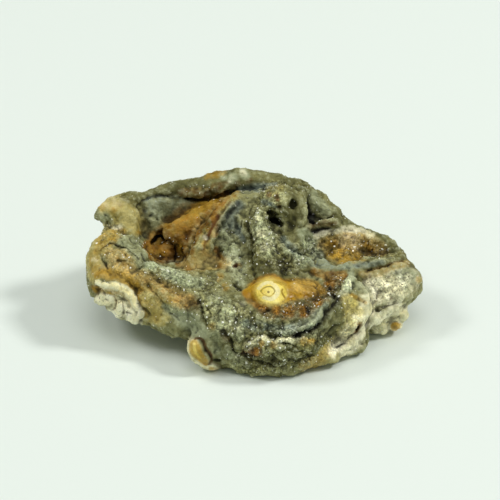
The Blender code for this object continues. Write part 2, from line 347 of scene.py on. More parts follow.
@dataclass
class Skin:
    """The stone's fine skin while it is worked on.

    Pixels shift by waver with the two phases, across and down, and less near the eye: by steady there,
    and by more and more past the share eye_edge of its reach. A drawn path has path_steps pieces from
    point to point, and its ends thin to end_width. A pixel that misses the stone is tried again at the
    inward shares of the way to the picture's middle. A mark doesn't reach a point that lies behind or
    before it by more than depth_widths of its half width, or least_depth in millimetres, whichever is
    more. far is the reach of points that no mark comes near, and spread is how much wider than its
    spots a stain fades out. The patch numbers set how far patches go and how crisp they end, and the
    shade numbers how far the painted shade laid into marks goes and how crisp it ends.
    """

    thing: bpy.types.Object
    phases: tuple[float, float] = (0.4, 2.9)
    steady: float = 0.2
    eye_edge: float = 0.7
    path_steps: int = 5
    end_width: float = 0.4
    inward: tuple[float, ...] = (0.0, 0.04, 0.08)
    depth_widths: float = 2.6
    least_depth: float = 1.5
    far: float = 9.0
    spread: float = 1.5
    patch_reach: float = 1.2
    patch_crisp: float = 2.2
    shade_reach: float = 1.2
    shade_fall: float = 1.3
    points: np.ndarray = field(init=False)
    normals: np.ndarray = field(init=False)
    pixels: np.ndarray = field(init=False)
    edges: np.ndarray = field(init=False)
    tree: BVHTree = field(init=False)

    def __post_init__(self) -> None:
        """Read the mesh."""
        self.read()

    def read(self) -> None:
        """Take the places, normals, edges and photo pixels of the mesh's points."""
        mesh = self.thing.data
        count = len(mesh.vertices)
        flat = np.empty(count * 3, dtype=np.float32)
        mesh.vertices.foreach_get("co", flat)
        self.points = flat.reshape(-1, 3).astype(np.float64)
        flat = np.empty(count * 3, dtype=np.float32)
        mesh.vertex_normals.foreach_get("vector", flat)
        self.normals = flat.reshape(-1, 3).astype(np.float64)
        ends = np.empty(len(mesh.edges) * 2, dtype=np.int32)
        mesh.edges.foreach_get("vertices", ends)
        self.edges = ends.reshape(-1, 2)
        self.pixels = VIEW.project(self.points)
        away = np.linalg.norm((self.pixels - EYE_MIDDLE) / EYE_REACH, axis=1)
        share = self.steady + (1.0 - self.steady) * np.clip(away - self.eye_edge, 0.0, 1.0)
        for axis, phase in enumerate(self.phases):
            self.pixels[:, axis] += waver(self.points, phase) * share
        grid = bmesh.new()
        grid.from_mesh(mesh)
        self.tree = BVHTree.FromBMesh(grid)
        grid.free()

    def write(self) -> None:
        """Put the moved points back into the mesh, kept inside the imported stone's box."""
        low, high = (np.array(corner) for corner in cad_box)
        self.points = np.clip(self.points, low + BOX_MARGIN, high - BOX_MARGIN)
        self.thing.data.vertices.foreach_set("co", self.points.astype(np.float32).ravel())
        self.thing.data.update()
        self.read()

    def average(self, values: np.ndarray, rounds: int) -> np.ndarray:
        """Even out values over the skin.

        Args:
            values: one row for each point.
            rounds: how many times each point takes the mean of its neighbours.

        Returns:
            The evened values.
        """
        count = np.bincount(self.edges.ravel(), minlength=len(self.points)).astype(float)
        shape = (-1,) + (1,) * (values.ndim - 1)
        for _ in range(rounds):
            total = np.zeros_like(values)
            np.add.at(total, self.edges[:, 0], values[self.edges[:, 1]])
            np.add.at(total, self.edges[:, 1], values[self.edges[:, 0]])
            values = total / np.maximum(count, 1).reshape(shape)
        return values

    def hit(self, u: float, v: float) -> Vector | None:
        """The place on the skin that shows at a pixel.

        Args:
            u: pixels from the left.
            v: pixels from the top.

        Returns:
            The place, or None beside the stone.
        """
        for back in self.inward:
            nearer = (u + (PHOTO_SIDE / 2 - u) * back, v + (PHOTO_SIDE / 2 - v) * back)
            found = self.tree.ray_cast(VIEW.eye, VIEW.ray(*nearer))[0]
            if found is not None:
                return found
        return None

    def reach(self, path: np.ndarray, taper: bool = False) -> np.ndarray:
        """How far each point of the skin is from a path of photo pixels.

        Args:
            path: rows of u, v and the path's half width there, in pixels.
            taper: whether the ends grow thin.

        Returns:
            The distance in the photograph divided by the half width, 0 on the path and 1 at its
            edge. Points that lie far behind or before the path get a large value.
        """
        rows = smooth_path(path, self.path_steps)
        samples, widths = rows[:, :2], rows[:, 2].copy()
        if taper and len(rows) > 1:
            middle = np.sqrt(np.sin(np.linspace(0.06, 0.94, len(rows)) * math.pi))
            widths *= self.end_width + (1.0 - self.end_width) * middle
        places, place = [], None
        for u, v in samples:
            found = self.hit(u, v)
            place = np.array(found) if found is not None else place
            places.append(place)
        result = np.full(len(self.points), self.far)
        first = next((p for p in places if p is not None), None)
        if first is None:
            log.warning("a mark near %s misses the stone", path[0])
            return result
        places = np.array([first if p is None else p for p in places])
        margin = widths.max() * 1.05 + 1
        inside = (self.pixels > samples.min(0) - margin) & (self.pixels < samples.max(0) + margin)
        index = np.nonzero(inside.all(axis=1))[0]
        if not len(index):
            return result
        ends = np.vstack([samples[1:], samples[-1:]])
        across = ends - samples
        length = np.maximum((across ** 2).sum(1), 1e-9)
        rel = self.pixels[index][:, None, :] - samples[None]
        along = np.clip((rel * across[None]).sum(2) / length[None], 0.0, 1.0)
        gap = np.linalg.norm(rel - along[..., None] * across[None], axis=2)
        wide = widths[None] * (1 - along) + np.append(widths[1:], widths[-1])[None] * along
        ratio = gap / np.maximum(wide, 0.1)
        pick = ratio.argmin(1)
        rows = np.arange(len(index))
        depth = np.linalg.norm(self.points[index] - places[pick], axis=1)
        limit = wide[rows, pick] / VIEW.pixels_per_mm * self.depth_widths
        limit = np.maximum(limit, self.least_depth) * MM
        beyond = np.clip((depth / limit - 1.0) * 2.0, 0.0, 1.0)
        result[index] = ratio[rows, pick] + beyond * 2.0
        return result

    def work(self, marks: tuple[Mark, ...]) -> None:
        """Work marks into the skin, each along its own normals.

        Args:
            marks: what is pressed in or raised.
        """
        uneven = 0.85 + 0.45 * wobble(self.points, 1.8, 3.3)
        for mark in marks:
            reach = self.reach(mark.rows(), taper=True)
            lift = mark.section.height(reach) * (reach < 1.0) * mark.height * MM * uneven
            moved = lift != 0.0
            self.points[moved] += self.normals[moved] * lift[moved, None]
        self.write()

    def cover(self, stain: Stain) -> np.ndarray:
        """How much of a stain each point of the skin has.

        Args:
            stain: the stain.

        Returns:
            An amount from 0 to 1 for each point.
        """
        spots = np.array(stain.spots, dtype=float) * (1.0, 1.0, self.spread)
        groups = [spots] if stain.joined else [spot[None] for spot in spots]
        reach = self.spread * np.min([self.reach(group) for group in groups], axis=0)
        return ease(0.5 + (1.0 - reach) * stain.crisp) * stain.strength

    def paint(self, stains: tuple[Stain, ...], patches: tuple[Patch, ...], marks: tuple[Mark, ...]) -> None:
        """Lay the stains over each other in order, and keep each one's amount as an attribute.

        Args:
            stains: areas by photo pixels.
            patches: areas by millimetres.
            marks: marks, into whose bottoms painted shade may be laid.
        """
        share = {pigment: np.zeros(len(self.points)) for pigment in Pigment}
        share[Pigment.STONE] += 1.0
        growth = {kind: np.zeros(len(self.points)) for kind in Growth}

        def lay(kind: Pigment | Growth, amount: np.ndarray) -> None:
            """Lay an amount of one kind over what is there."""
            if isinstance(kind, Growth):
                growth[kind] = np.maximum(growth[kind], amount)
                return
            for pigment in Pigment:
                share[pigment] *= 1.0 - amount
            share[kind] += amount

        fine = 0.24 * wobble(self.points, 0.9, 5.1)
        broad = 0.2 * wobble(self.points, 2.4, 8.3)
        ragged = fine + broad
        for patch in patches:
            amount = np.zeros(len(self.points))
            for x, y, z, radius in patch.balls:
                gap = np.linalg.norm(self.points - np.array((x, y, z)) * MM, axis=1) / (radius * MM)
                inside = np.clip((self.patch_reach - gap + ragged) * self.patch_crisp, 0.0, 1.0)
                amount = np.maximum(amount, inside)
            lay(patch.kind, amount * patch.strength)
        for stain in stains:
            lay(stain.kind, self.cover(stain))
        # Painted shade: near-black laid into the bottoms of marks, along their paths
        for mark in marks:
            if mark.recess_shade:
                dark = np.clip(self.shade_reach - self.shade_fall * self.reach(mark.rows()), 0.0, 1.0)
                lay(Pigment.PAINTED_SHADE, dark * mark.recess_shade)
        below = np.zeros(len(self.points))
        for pigment in Pigment:
            below += share[pigment]
            self.store(pigment.value, share[pigment] / np.maximum(below, 1e-6))
        for kind in Growth:
            self.store(kind.value, growth[kind])

    def store(self, name: str, values: np.ndarray) -> None:
        """Keep one number for each point as a named attribute.

        Args:
            name: the attribute's name.
            values: one number for each point.
        """
        mesh = self.thing.data
        layer = mesh.attributes.get(name) or mesh.attributes.new(name, "FLOAT", "POINT")
        layer.data.foreach_set("value", values.astype(np.float32))


def settle(thing: bpy.types.Object) -> None:
    """Apply the live modifiers of an object to its mesh.

    Args:
        thing: the object.
    """
    bpy.context.view_layer.update()
    graph = bpy.context.evaluated_depsgraph_get()
    mesh = bpy.data.meshes.new_from_object(thing.evaluated_get(graph))
    thing.modifiers.clear()
    old = thing.data
    name = old.name
    thing.data = mesh
    bpy.data.meshes.remove(old)
    mesh.name = name


def remesh(thing: bpy.types.Object, cell: float, smoothing: int) -> None:
    """Lay even, small faces over a closed skin.

    Args:
        thing: the object.
        cell: side of a face in millimetres.
        smoothing: rounds of smoothing.
    """
    skin = thing.modifiers.new("skin", "REMESH")
    skin.mode = "VOXEL"
    skin.voxel_size = cell * MM
    soft = thing.modifiers.new("soft", "SMOOTH")
    soft.factor = 0.5
    soft.iterations = smoothing
    settle(thing)


class Tree:
    """A node tree that is being built."""

    def __init__(self, tree: bpy.types.NodeTree) -> None:
        """Start on an empty tree.

        Args:
            tree: the tree.
        """
        self.tree = tree
        self.tree.nodes.clear()

    def socket(self, name: str, kind: str, output: bool = False, default: object = None) -> None:
        """Give the tree a named input or output.

        Args:
            name: the socket's name.
            kind: Float, Color, Vector, Geometry, Material, Int and so on.
            output: whether it is an output.
            default: the input's value when nothing is set.
        """
        side = "OUTPUT" if output else "INPUT"
        made = self.tree.interface.new_socket(name=name, in_out=side, socket_type="NodeSocket" + kind)
        if default is not None:
            made.default_value = default

    def node(self, kind: str, inputs: dict | None = None, **settings: object) -> bpy.types.Node:
        """Add a node.

        Args:
            kind: the node's type name.
            inputs: values or output sockets for its inputs, by name or number.
            settings: its other settings.

        Returns:
            The node.
        """
        made = self.tree.nodes.new(kind)
        for key, value in settings.items():
            setattr(made, key, value)
        for key, value in (inputs or {}).items():
            if isinstance(value, bpy.types.NodeSocket):
                self.tree.links.new(value, made.inputs[key])
            else:
                made.inputs[key].default_value = value
        return made


def math_node(tree: Tree, operation: str, *values: object, clamp: bool = False) -> bpy.types.NodeSocket:
    """Add a sum, product or other step of arithmetic.

    Args:
        tree: the tree that is being built.
        operation: Blender's name of the step.
        values: numbers or output sockets.
        clamp: whether the result is kept from 0 to 1.

    Returns:
        The result's socket.
    """
    made = tree.node("ShaderNodeMath", dict(enumerate(values)), operation=operation, use_clamp=clamp)
    return made.outputs[0]


def remap(
    tree: Tree, value: object, low: float, high: float, out_low: float = 0.0, out_high: float = 1.0,
) -> bpy.types.NodeSocket:
    """Stretch a value from one range to another, smoothly and clamped.

    Args:
        tree: the tree that is being built.
        value: an output socket.
        low: start of its range.
        high: end of its range.
        out_low: result at the start.
        out_high: result at the end.

    Returns:
        The result's socket.
    """
    inputs = {"Value": value, "From Min": low, "From Max": high, "To Min": out_low, "To Max": out_high}
    return tree.node("ShaderNodeMapRange", inputs, interpolation_type="SMOOTHSTEP").outputs["Result"]


def blend(tree: Tree, amount: object, below: object, above: object) -> bpy.types.NodeSocket:
    """Mix two colours.

    Args:
        tree: the tree that is being built.
        amount: how much of the upper colour shows.
        below: the lower colour.
        above: the upper colour.

    Returns:
        The colour's socket.
    """
    made = tree.node("ShaderNodeMix", data_type="RGBA")
    for index, value in ((0, amount), (6, below), (7, above)):
        if isinstance(value, bpy.types.NodeSocket):
            tree.tree.links.new(value, made.inputs[index])
        else:
            made.inputs[index].default_value = value
    return made.outputs[2]


def scaled(tree: Tree, value: object, factor: object) -> bpy.types.NodeSocket:
    """Multiply a vector or a colour by a number.

    Args:
        tree: the tree that is being built.
        value: the vector's socket.
        factor: a number or its socket.

    Returns:
        The result's socket.
    """
    return tree.node("ShaderNodeVectorMath", {0: value, "Scale": factor}, operation="SCALE").outputs[0]


def grown(tree: Tree, kind: Growth) -> bpy.types.NodeSocket:
    """How much of one growth a place of the skin has.

    Args:
        tree: the geometry nodes that are being built.
        kind: the growth.

    Returns:
        The amount's socket.
    """
    return tree.node("GeometryNodeInputNamedAttribute", {"Name": kind.value}, data_type="FLOAT").outputs[0]


def stored(tree: Tree, name: str) -> bpy.types.NodeSocket:
    """A number that the mesh keeps for each point, in a material.

    Args:
        tree: the material's tree.
        name: the attribute's name.

    Returns:
        The number's socket.
    """
    return tree.node("ShaderNodeAttribute", attribute_name=name).outputs["Fac"]


@dataclass(frozen=True)
class Grain:
    """Unevenness that covers the whole stone, in millimetres.

    The last rows are shares: how round the grains are and how deep the creases between them, how much
    their height differs from place to place and the least that is left, how much of the fine grain
    goes where the skin is calm, how much of the lumps stays there, and the beads' height on bare and
    on sugary skin.
    """

    lump_size: float = 2.8
    lump_height: float = 0.6
    knob_size: float = 1.35
    knob_height: float = 0.62
    bead_size: float = 0.62
    bead_height: float = 0.34
    growth: float = 0.1
    bend: float = 0.5
    seed: int = 7
    dome: float = 0.3
    crease: float = 0.8
    usual: float = 0.75
    uneven: float = 0.9
    least: float = 0.15
    calming: float = 0.88
    lasting: float = 0.3
    bare_beads: float = 0.8
    sugar_beads: float = 0.5

    def values(self, material: bpy.types.Material) -> dict[str, object]:
        """The inputs of the nodes by name.

        Args:
            material: what the skin's faces take.

        Returns:
            Each input's value.
        """
        return {
            "Lump Size": self.lump_size, "Lump Height": self.lump_height, "Knob Size": self.knob_size,
            "Knob Height": self.knob_height, "Bead Size": self.bead_size, "Bead Height": self.bead_height,
            "Growth": self.growth, "Seed": self.seed, "Material": material,
        }

    def tree(self) -> bpy.types.NodeTree:
        """Build the nodes that raise the skin along its normals.

        Returns:
            The tree, with its sizes as named inputs.
        """
        build = Tree(bpy.data.node_groups.new("stone_grain", "GeometryNodeTree"))
        build.socket("Geometry", "Geometry")
        for kind in ("Lump", "Knob", "Bead"):
            build.socket(kind + " Size", "Float")
            build.socket(kind + " Height", "Float")
        build.socket("Growth", "Float")
        build.socket("Seed", "Int")
        build.socket("Material", "Material")
        build.socket("Geometry", "Geometry", output=True)
        source = build.node("NodeGroupInput").outputs
        spot = build.node("GeometryNodeInputPosition").outputs[0]
        shift = build.node("ShaderNodeCombineXYZ", {0: source["Seed"], 1: source["Seed"], 2: source["Seed"]})
        moved = build.node("ShaderNodeVectorMath", {0: spot, 1: shift.outputs[0]}, operation="ADD").outputs[0]

        def scale(name: str) -> bpy.types.NodeSocket:
            """How often a texture of that size repeats in a metre."""
            return math_node(build, "DIVIDE", 1.0 / MM, source[name])

        def noise(name: str, detail: float) -> bpy.types.NodeSocket:
            """Noise from -1 to 1 of that size."""
            made = build.node("ShaderNodeTexNoise", {"Vector": moved, "Scale": scale(name), "Detail": detail})
            return math_node(build, "MULTIPLY_ADD", made.outputs["Fac"], 2.0, -1.0)

        def domes(name: str) -> bpy.types.NodeSocket:
            """Round grains of that size, each in a crease of its own, which stand out unevenly."""
            bent = build.node("ShaderNodeTexNoise", {"Vector": moved, "Scale": scale(name), "Detail": 1.0})
            bent = scaled(build, bent.outputs["Color"], self.bend * MM)
            place = build.node("ShaderNodeVectorMath", {0: moved, 1: bent}, operation="ADD").outputs[0]
            cells = build.node("ShaderNodeTexVoronoi", {"Vector": place, "Scale": scale(name)})
            square = math_node(build, "POWER", cells.outputs["Distance"], 2.0)
            dome = math_node(build, "SUBTRACT", self.dome, math_node(build, "MINIMUM", square, self.crease))
            some = math_node(build, "MULTIPLY_ADD", noise("Lump Size", 1.0), self.uneven, self.usual)
            return math_node(build, "MULTIPLY", dome, math_node(build, "MAXIMUM", some, self.least))

        calm = math_node(build, "MULTIPLY", grown(build, Growth.CALM), self.calming)
        rough = math_node(build, "SUBTRACT", 1.0, calm)
        lumps = math_node(build, "MULTIPLY", noise("Lump Size", 2.0), source["Lump Height"])
        lasting = math_node(build, "MULTIPLY_ADD", rough, 1.0 - self.lasting, self.lasting)
        lumps = math_node(build, "MULTIPLY", lumps, lasting)
        knobs = math_node(build, "MULTIPLY", domes("Knob Size"), source["Knob Height"])
        beads = math_node(build, "MULTIPLY", domes("Bead Size"), source["Bead Height"])
        more = math_node(build, "MULTIPLY_ADD", grown(build, Growth.SUGAR), self.sugar_beads, self.bare_beads)
        beads = math_node(build, "MULTIPLY", beads, more)
        fine = math_node(build, "MULTIPLY", math_node(build, "ADD", knobs, beads), rough)
        total = math_node(build, "ADD", math_node(build, "ADD", lumps, fine), source["Growth"])
        total = math_node(build, "MULTIPLY", total, MM)
        normal = build.node("GeometryNodeInputNormal").outputs[0]
        offset = scaled(build, normal, total)
        raised = build.node("GeometryNodeSetPosition", {"Geometry": source["Geometry"], "Offset": offset})
        real = build.node("GeometryNodeRealizeInstances", {0: raised.outputs[0]}).outputs[0]
        done = build.node("GeometryNodeSetMaterial", {"Geometry": real, "Material": source["Material"]})
        build.node("NodeGroupOutput", {0: done.outputs[0]})
        return build.tree

    def apply(self, thing: bpy.types.Object, material: bpy.types.Material) -> None:
        """Raise the grain on an object and keep the result as its plain mesh.

        Args:
            thing: the object.
            material: what its faces take.
        """
        run_nodes(thing, self.tree(), self.values(material))


def run_nodes(thing: bpy.types.Object, tree: bpy.types.NodeTree, values: dict[str, object]) -> None:
    """Run geometry nodes on an object and keep the result as its plain mesh.

    Args:
        thing: the object.
        tree: the node tree.
        values: its inputs by name.
    """
    nodes = thing.modifiers.new(tree.name, "NODES")
    nodes.node_group = tree
    for item in tree.interface.items_tree:
        if item.item_type == "SOCKET" and item.in_out == "INPUT" and item.name in values:
            nodes[item.identifier] = values[item.name]
    settle(thing)


@dataclass(frozen=True)
class Crystals:
    """Small quartz points that stand on the skin, in millimetres.

    Their sizes differ from smallest to largest. base, height and sunk are shares of a point's size: its
    half width, its height and how deep it sits. calming is how fast they end where the skin is calm or
    chalky.
    """

    name: str
    size: float
    density: float
    bare: float
    grown: float
    lean: float
    sides: int
    seed: int
    smallest: float = 0.55
    largest: float = 1.25
    base: float = 0.5
    height: float = 0.75
    sunk: float = 0.4
    calming: float = 1.4

    def tree(self) -> bpy.types.NodeTree:
        """Build the nodes that scatter the quartz points.

        Returns:
            The tree, with its sizes as named inputs.
        """
        build = Tree(bpy.data.node_groups.new(self.name, "GeometryNodeTree"))
        build.socket("Geometry", "Geometry")
        for name in ("Crystal Size", "Density", "Bare", "Grown", "Lean"):
            build.socket(name, "Float")
        for name in ("Sides", "Seed"):
            build.socket(name, "Int")
        build.socket("Material", "Material")
        build.socket("Geometry", "Geometry", output=True)
        source = build.node("NodeGroupInput").outputs

        share = math_node(build, "MULTIPLY_ADD", grown(build, Growth.SUGAR), source["Grown"], source["Bare"])
        quiet = math_node(build, "MAXIMUM", grown(build, Growth.CALM), grown(build, Growth.CHALK))
        quiet = math_node(build, "MULTIPLY", quiet, self.calming)
        free = math_node(build, "SUBTRACT", 1.0, quiet, clamp=True)
        share = math_node(build, "MULTIPLY", share, free)
        dense = math_node(build, "MULTIPLY", source["Density"], 1.0 / (MM * MM))
        dense = math_node(build, "MULTIPLY", dense, math_node(build, "MAXIMUM", share, 0.0))
        spread = build.node("GeometryNodeDistributePointsOnFaces",
                            {"Mesh": source["Geometry"], "Density": dense, "Seed": source["Seed"]})
        tip = build.node("GeometryNodeMeshCone", {
            "Vertices": source["Sides"], "Radius Top": 0.0, "Radius Bottom": self.base,
            "Depth": self.height}).outputs["Mesh"]
        low = build.node("GeometryNodeTransform", {"Geometry": tip, "Translation": (0.0, 0.0, -self.sunk)})
        lean = source["Lean"]
        back = math_node(build, "MULTIPLY", lean, -1.0)
        least = build.node("ShaderNodeCombineXYZ", {0: back, 1: back, 2: -math.pi}).outputs[0]
        most = build.node("ShaderNodeCombineXYZ", {0: lean, 1: lean, 2: math.pi}).outputs[0]
        tilt = build.node("FunctionNodeRandomValue", {0: least, 1: most, "Seed": source["Seed"]},
                          data_type="FLOAT_VECTOR")
        turn = build.node("FunctionNodeEulerToRotation", {0: tilt.outputs[0]})
        turned = build.node("FunctionNodeRotateRotation", {0: spread.outputs["Rotation"], 1: turn.outputs[0]},
                            rotation_space="LOCAL")
        chance = {2: self.smallest, 3: self.largest, "Seed": source["Seed"]}
        size = build.node("FunctionNodeRandomValue", chance, data_type="FLOAT").outputs[1]
        size = math_node(build, "MULTIPLY", size, math_node(build, "MULTIPLY", source["Crystal Size"], MM))
        placed = build.node("GeometryNodeInstanceOnPoints", {
            "Points": spread.outputs["Points"], "Instance": low.outputs[0],
            "Rotation": turned.outputs[0], "Scale": size})
        chance = {2: 0.0, 3: 1.0, "Seed": source["Seed"]}
        shine = build.node("FunctionNodeRandomValue", chance, data_type="FLOAT")
        lit = build.node("GeometryNodeStoreNamedAttribute",
                         {"Geometry": placed.outputs[0], "Name": "shine", "Value": shine.outputs[1]},
                         data_type="FLOAT", domain="INSTANCE")
        real = build.node("GeometryNodeRealizeInstances", {0: lit.outputs[0]})
        flat = build.node("GeometryNodeSetShadeSmooth", {"Geometry": real.outputs[0], "Shade Smooth": False})
        done = build.node("GeometryNodeSetMaterial", {
            "Geometry": flat.outputs[0], "Material": source["Material"]})
        build.node("NodeGroupOutput", {0: done.outputs[0]})
        return build.tree

    def build(self, skin: bpy.types.Object, material: bpy.types.Material) -> bpy.types.Object:
        """Grow the quartz points on a skin.

        Args:
            skin: the finished skin.
            material: the quartz material.

        Returns:
            The object that holds all the points.
        """
        piece = bpy.data.objects.new(self.name, skin.data.copy())
        bpy.context.scene.collection.objects.link(piece)
        values = {
            "Crystal Size": self.size, "Density": self.density, "Bare": self.bare, "Grown": self.grown,
            "Lean": self.lean, "Sides": self.sides, "Seed": self.seed, "Material": material,
        }
        run_nodes(piece, self.tree(), values)
        piece.data.name = self.name
        Skin(piece).write()
        log.info("%s: %d faces", self.name, len(piece.data.polygons))
        return piece


SUGAR = Crystals("quartz_sugar", size=0.30, density=9.0, bare=0.75, grown=0.25, lean=0.7, sides=3, seed=3)
DRUSE = Crystals("quartz_druse", size=0.46, density=7.0, bare=-0.12, grown=1.12, lean=0.6, sides=6, seed=11)


@dataclass(frozen=True)
class Finish:
    """The two shades of one pigment, and how far noise breaks up its edge."""

    pigment: Pigment
    light: tuple[float, float, float, float]
    dark: tuple[float, float, float, float]
    breakup: float = 0.26


FINISHES = (
    Finish(Pigment.SAGE, srgb(172, 178, 142), srgb(136, 142, 106)),
    Finish(Pigment.STRAW, srgb(204, 190, 122), srgb(166, 150, 78)),
    Finish(Pigment.SAND, srgb(200, 173, 106), srgb(160, 134, 68)),
    Finish(Pigment.SLATE, srgb(136, 148, 136), srgb(82, 93, 84)),
    Finish(Pigment.OLIVE, srgb(112, 108, 58), srgb(68, 67, 32)),
    Finish(Pigment.OCHRE, srgb(192, 154, 58), srgb(150, 116, 30)),
    Finish(Pigment.RUST, srgb(162, 115, 34), srgb(114, 76, 12)),
    Finish(Pigment.UMBER, srgb(96, 60, 20), srgb(54, 32, 8)),
    Finish(Pigment.CREAM, srgb(252, 247, 214), srgb(230, 222, 174)),
    Finish(Pigment.HONEY, srgb(206, 158, 8), srgb(154, 110, 1), 0.1),
    Finish(Pigment.IVORY, srgb(253, 240, 150), srgb(242, 216, 92), 0.0),
    # Near-black painted shade for crevices, holes, pits and recesses
    Finish(Pigment.PAINTED_SHADE, srgb(24, 19, 6), srgb(10, 8, 2), 0.15),
)


@dataclass
class Minerals:
    """The materials of the stone, and the node groups that they share.

    The shade and light numbers say how much darker painted shade makes the colour in fine hollows and
    in broad valleys, and how much lighter painted highlight makes it on ridges and on sugary ridges; the
    patches and grit numbers say how much it differs in patches of the druse and from grain to grain on
    bare skin and on the druse. The two crest numbers set how much painted highlight pales the crests,
    and the warm number how much of that the warm colours and the painted shade lose. gloss is the
    skin's range of roughness. The quartz points take the colour below them times point_dark, up to
    point_range more, and those whose random number lies past glints are painted white as glints.
    """

    pale: tuple[float, float, float, float] = srgb(154, 152, 104)
    deep: tuple[float, float, float, float] = srgb(94, 92, 50)
    # Colour toward which painted highlight pales the crests
    frost_and_highlight: tuple[float, float, float, float] = srgb(197, 202, 167)
    glint: tuple[float, float, float, float] = srgb(255, 255, 240)
    speck: tuple[float, float, float, float] = srgb(70, 58, 30)
    hollow_shade: float = 0.5
    valley_shade: float = 0.5
    ridge_light: float = 0.2
    druse_light: float = 0.35
    druse_patches: float = 0.5
    bare_grit: float = 0.16
    druse_grit: float = 0.95
    crest_highlight_base: float = 0.05
    crest_highlight_grain: float = 0.4
    warm_highlight_loss: float = 0.85
    gloss: tuple[float, float] = (0.5, 0.72)
    honey_gloss: float = 0.3
    point_dark: float = 0.55
    point_range: float = 0.95
    glints: tuple[float, float] = (0.955, 0.975)
    groups: dict[str, bpy.types.NodeTree] = field(default_factory=dict)

    def stain_group(self) -> bpy.types.NodeTree:
        """One stain that lies over a colour, with an edge that noise breaks up.

        Returns:
            The node group.
        """
        if "stain" in self.groups:
            return self.groups["stain"]
        build = Tree(bpy.data.node_groups.new("stain_layer", "ShaderNodeTree"))
        for name in ("Below", "Light", "Dark"):
            build.socket(name, "Color")
        for name in ("Amount", "Breakup", "Patches", "Mottle"):
            build.socket(name, "Float")
        build.socket("Color", "Color", output=True)
        build.socket("Mask", "Float", output=True)
        source = build.node("NodeGroupInput").outputs
        rough = math_node(build, "SUBTRACT", source["Patches"], 0.5)
        rough = math_node(build, "MULTIPLY", rough, source["Breakup"])
        rest = math_node(build, "SUBTRACT", 1.0, source["Amount"])
        edge = math_node(build, "MULTIPLY", source["Amount"], rest)
        edge = math_node(build, "MULTIPLY", math_node(build, "MULTIPLY", edge, 8.0), rough)
        mask = math_node(build, "ADD", source["Amount"], edge, clamp=True)
        pigment = blend(build, source["Mottle"], source["Dark"], source["Light"])
        colour = blend(build, mask, source["Below"], pigment)
        build.node("NodeGroupOutput", {"Color": colour, "Mask": mask})
        self.groups["stain"] = build.tree
        return build.tree

    def mottle_group(self) -> bpy.types.NodeTree:
        """Noise of three sizes, and dark specks, in the object's own place.

        Returns:
            The node group.
        """
        if "mottle" in self.groups:
            return self.groups["mottle"]
        build = Tree(bpy.data.node_groups.new("stone_mottle", "ShaderNodeTree"))
        for name, size in (("Broad Size", 3.0), ("Middle Size", 1.1), ("Fine Size", 0.35)):
            build.socket(name, "Float", default=size)
        for name in ("Broad", "Middle", "Fine", "Specks", "Grit"):
            build.socket(name, "Float", output=True)
        source = build.node("NodeGroupInput").outputs
        place = build.node("ShaderNodeTexCoord").outputs["Object"]
        made = {}
        noises = (("Broad", 3.0, 0.3, 0.7), ("Middle", 4.0, 0.3, 0.7), ("Fine", 2.0, 0.25, 0.75))
        for name, detail, low, high in noises:
            scale = math_node(build, "DIVIDE", 1.0 / MM, source[name + " Size"])
            noise = build.node("ShaderNodeTexNoise", {"Vector": place, "Scale": scale, "Detail": detail})
            made[name] = remap(build, noise.outputs["Fac"], low, high)
        scale = math_node(build, "DIVIDE", 1.1 / MM, source["Fine Size"])
        noise = build.node("ShaderNodeTexNoise", {"Vector": place, "Scale": scale, "Detail": 1.0})
        made["Specks"] = remap(build, noise.outputs["Fac"], 0.42, 0.36)
        scale = math_node(build, "DIVIDE", 0.8 / MM, source["Fine Size"])
        cells = build.node("ShaderNodeTexVoronoi", {"Vector": place, "Scale": scale})
        made["Grit"] = math_node(build, "SUBTRACT", 1.0, cells.outputs["Distance"], clamp=True)
        build.node("NodeGroupOutput", made)
        self.groups["mottle"] = build.tree
        return build.tree

    def colours(self, build: Tree) -> dict[str, bpy.types.NodeSocket]:
        """Add the stone's colour to a material, with painted shade in hollows and valleys and painted
        highlight on ridges and crests.

        Args:
            build: the material's tree.

        Returns:
            The colour, the fine noise and grit for gloss and bumps, and the honey's mask.
        """
        mottle = build.node("ShaderNodeGroup", node_tree=self.mottle_group()).outputs
        relief = stored(build, "relief")
        swell = stored(build, "swell")
        druse = stored(build, Growth.SUGAR.value)

        def times(first: object, second: object) -> bpy.types.NodeSocket:
            """One number times another."""
            return math_node(build, "MULTIPLY", first, second)

        def line(value: object, slope: object, start: float) -> bpy.types.NodeSocket:
            """A number times a slope, plus a start."""
            return math_node(build, "MULTIPLY_ADD", value, slope, start)

        tone = math_node(build, "MULTIPLY_ADD", mottle["Broad"], 0.6, times(mottle["Middle"], 0.4))
        colour = blend(build, tone, self.deep, self.pale)
        masks = {}
        for finish in FINISHES:
            layer = build.node("ShaderNodeGroup", {
                "Below": colour, "Light": finish.light, "Dark": finish.dark,
                "Amount": stored(build, finish.pigment.value), "Breakup": finish.breakup,
                "Patches": mottle["Middle"], "Mottle": mottle["Broad"],
            }, node_tree=self.stain_group())
            colour = layer.outputs["Color"]
            masks[finish.pigment] = layer.outputs["Mask"]
        # Painted shade in fine hollows and broad valleys, and painted highlight on ridges, from the stored
        # relief and swell; then random patches and grain
        shade = line(remap(build, relief, 0.5, 0.15), -self.hollow_shade, 1.0)
        shade = times(shade, line(remap(build, swell, 0.5, 0.2), -self.valley_shade, 1.0))
        raised = times(remap(build, swell, 0.52, 0.8), line(druse, self.druse_light, self.ridge_light))
        shade = times(shade, math_node(build, "ADD", raised, 1.0))
        patch = times(math_node(build, "SUBTRACT", mottle["Middle"], 0.5), times(druse, self.druse_patches))
        shade = times(shade, math_node(build, "ADD", patch, 1.0))
        depth = line(druse, self.druse_grit, self.bare_grit)
        shade = times(shade, line(math_node(build, "SUBTRACT", mottle["Fine"], 0.5), depth, 1.0))
        colour = scaled(build, colour, shade)
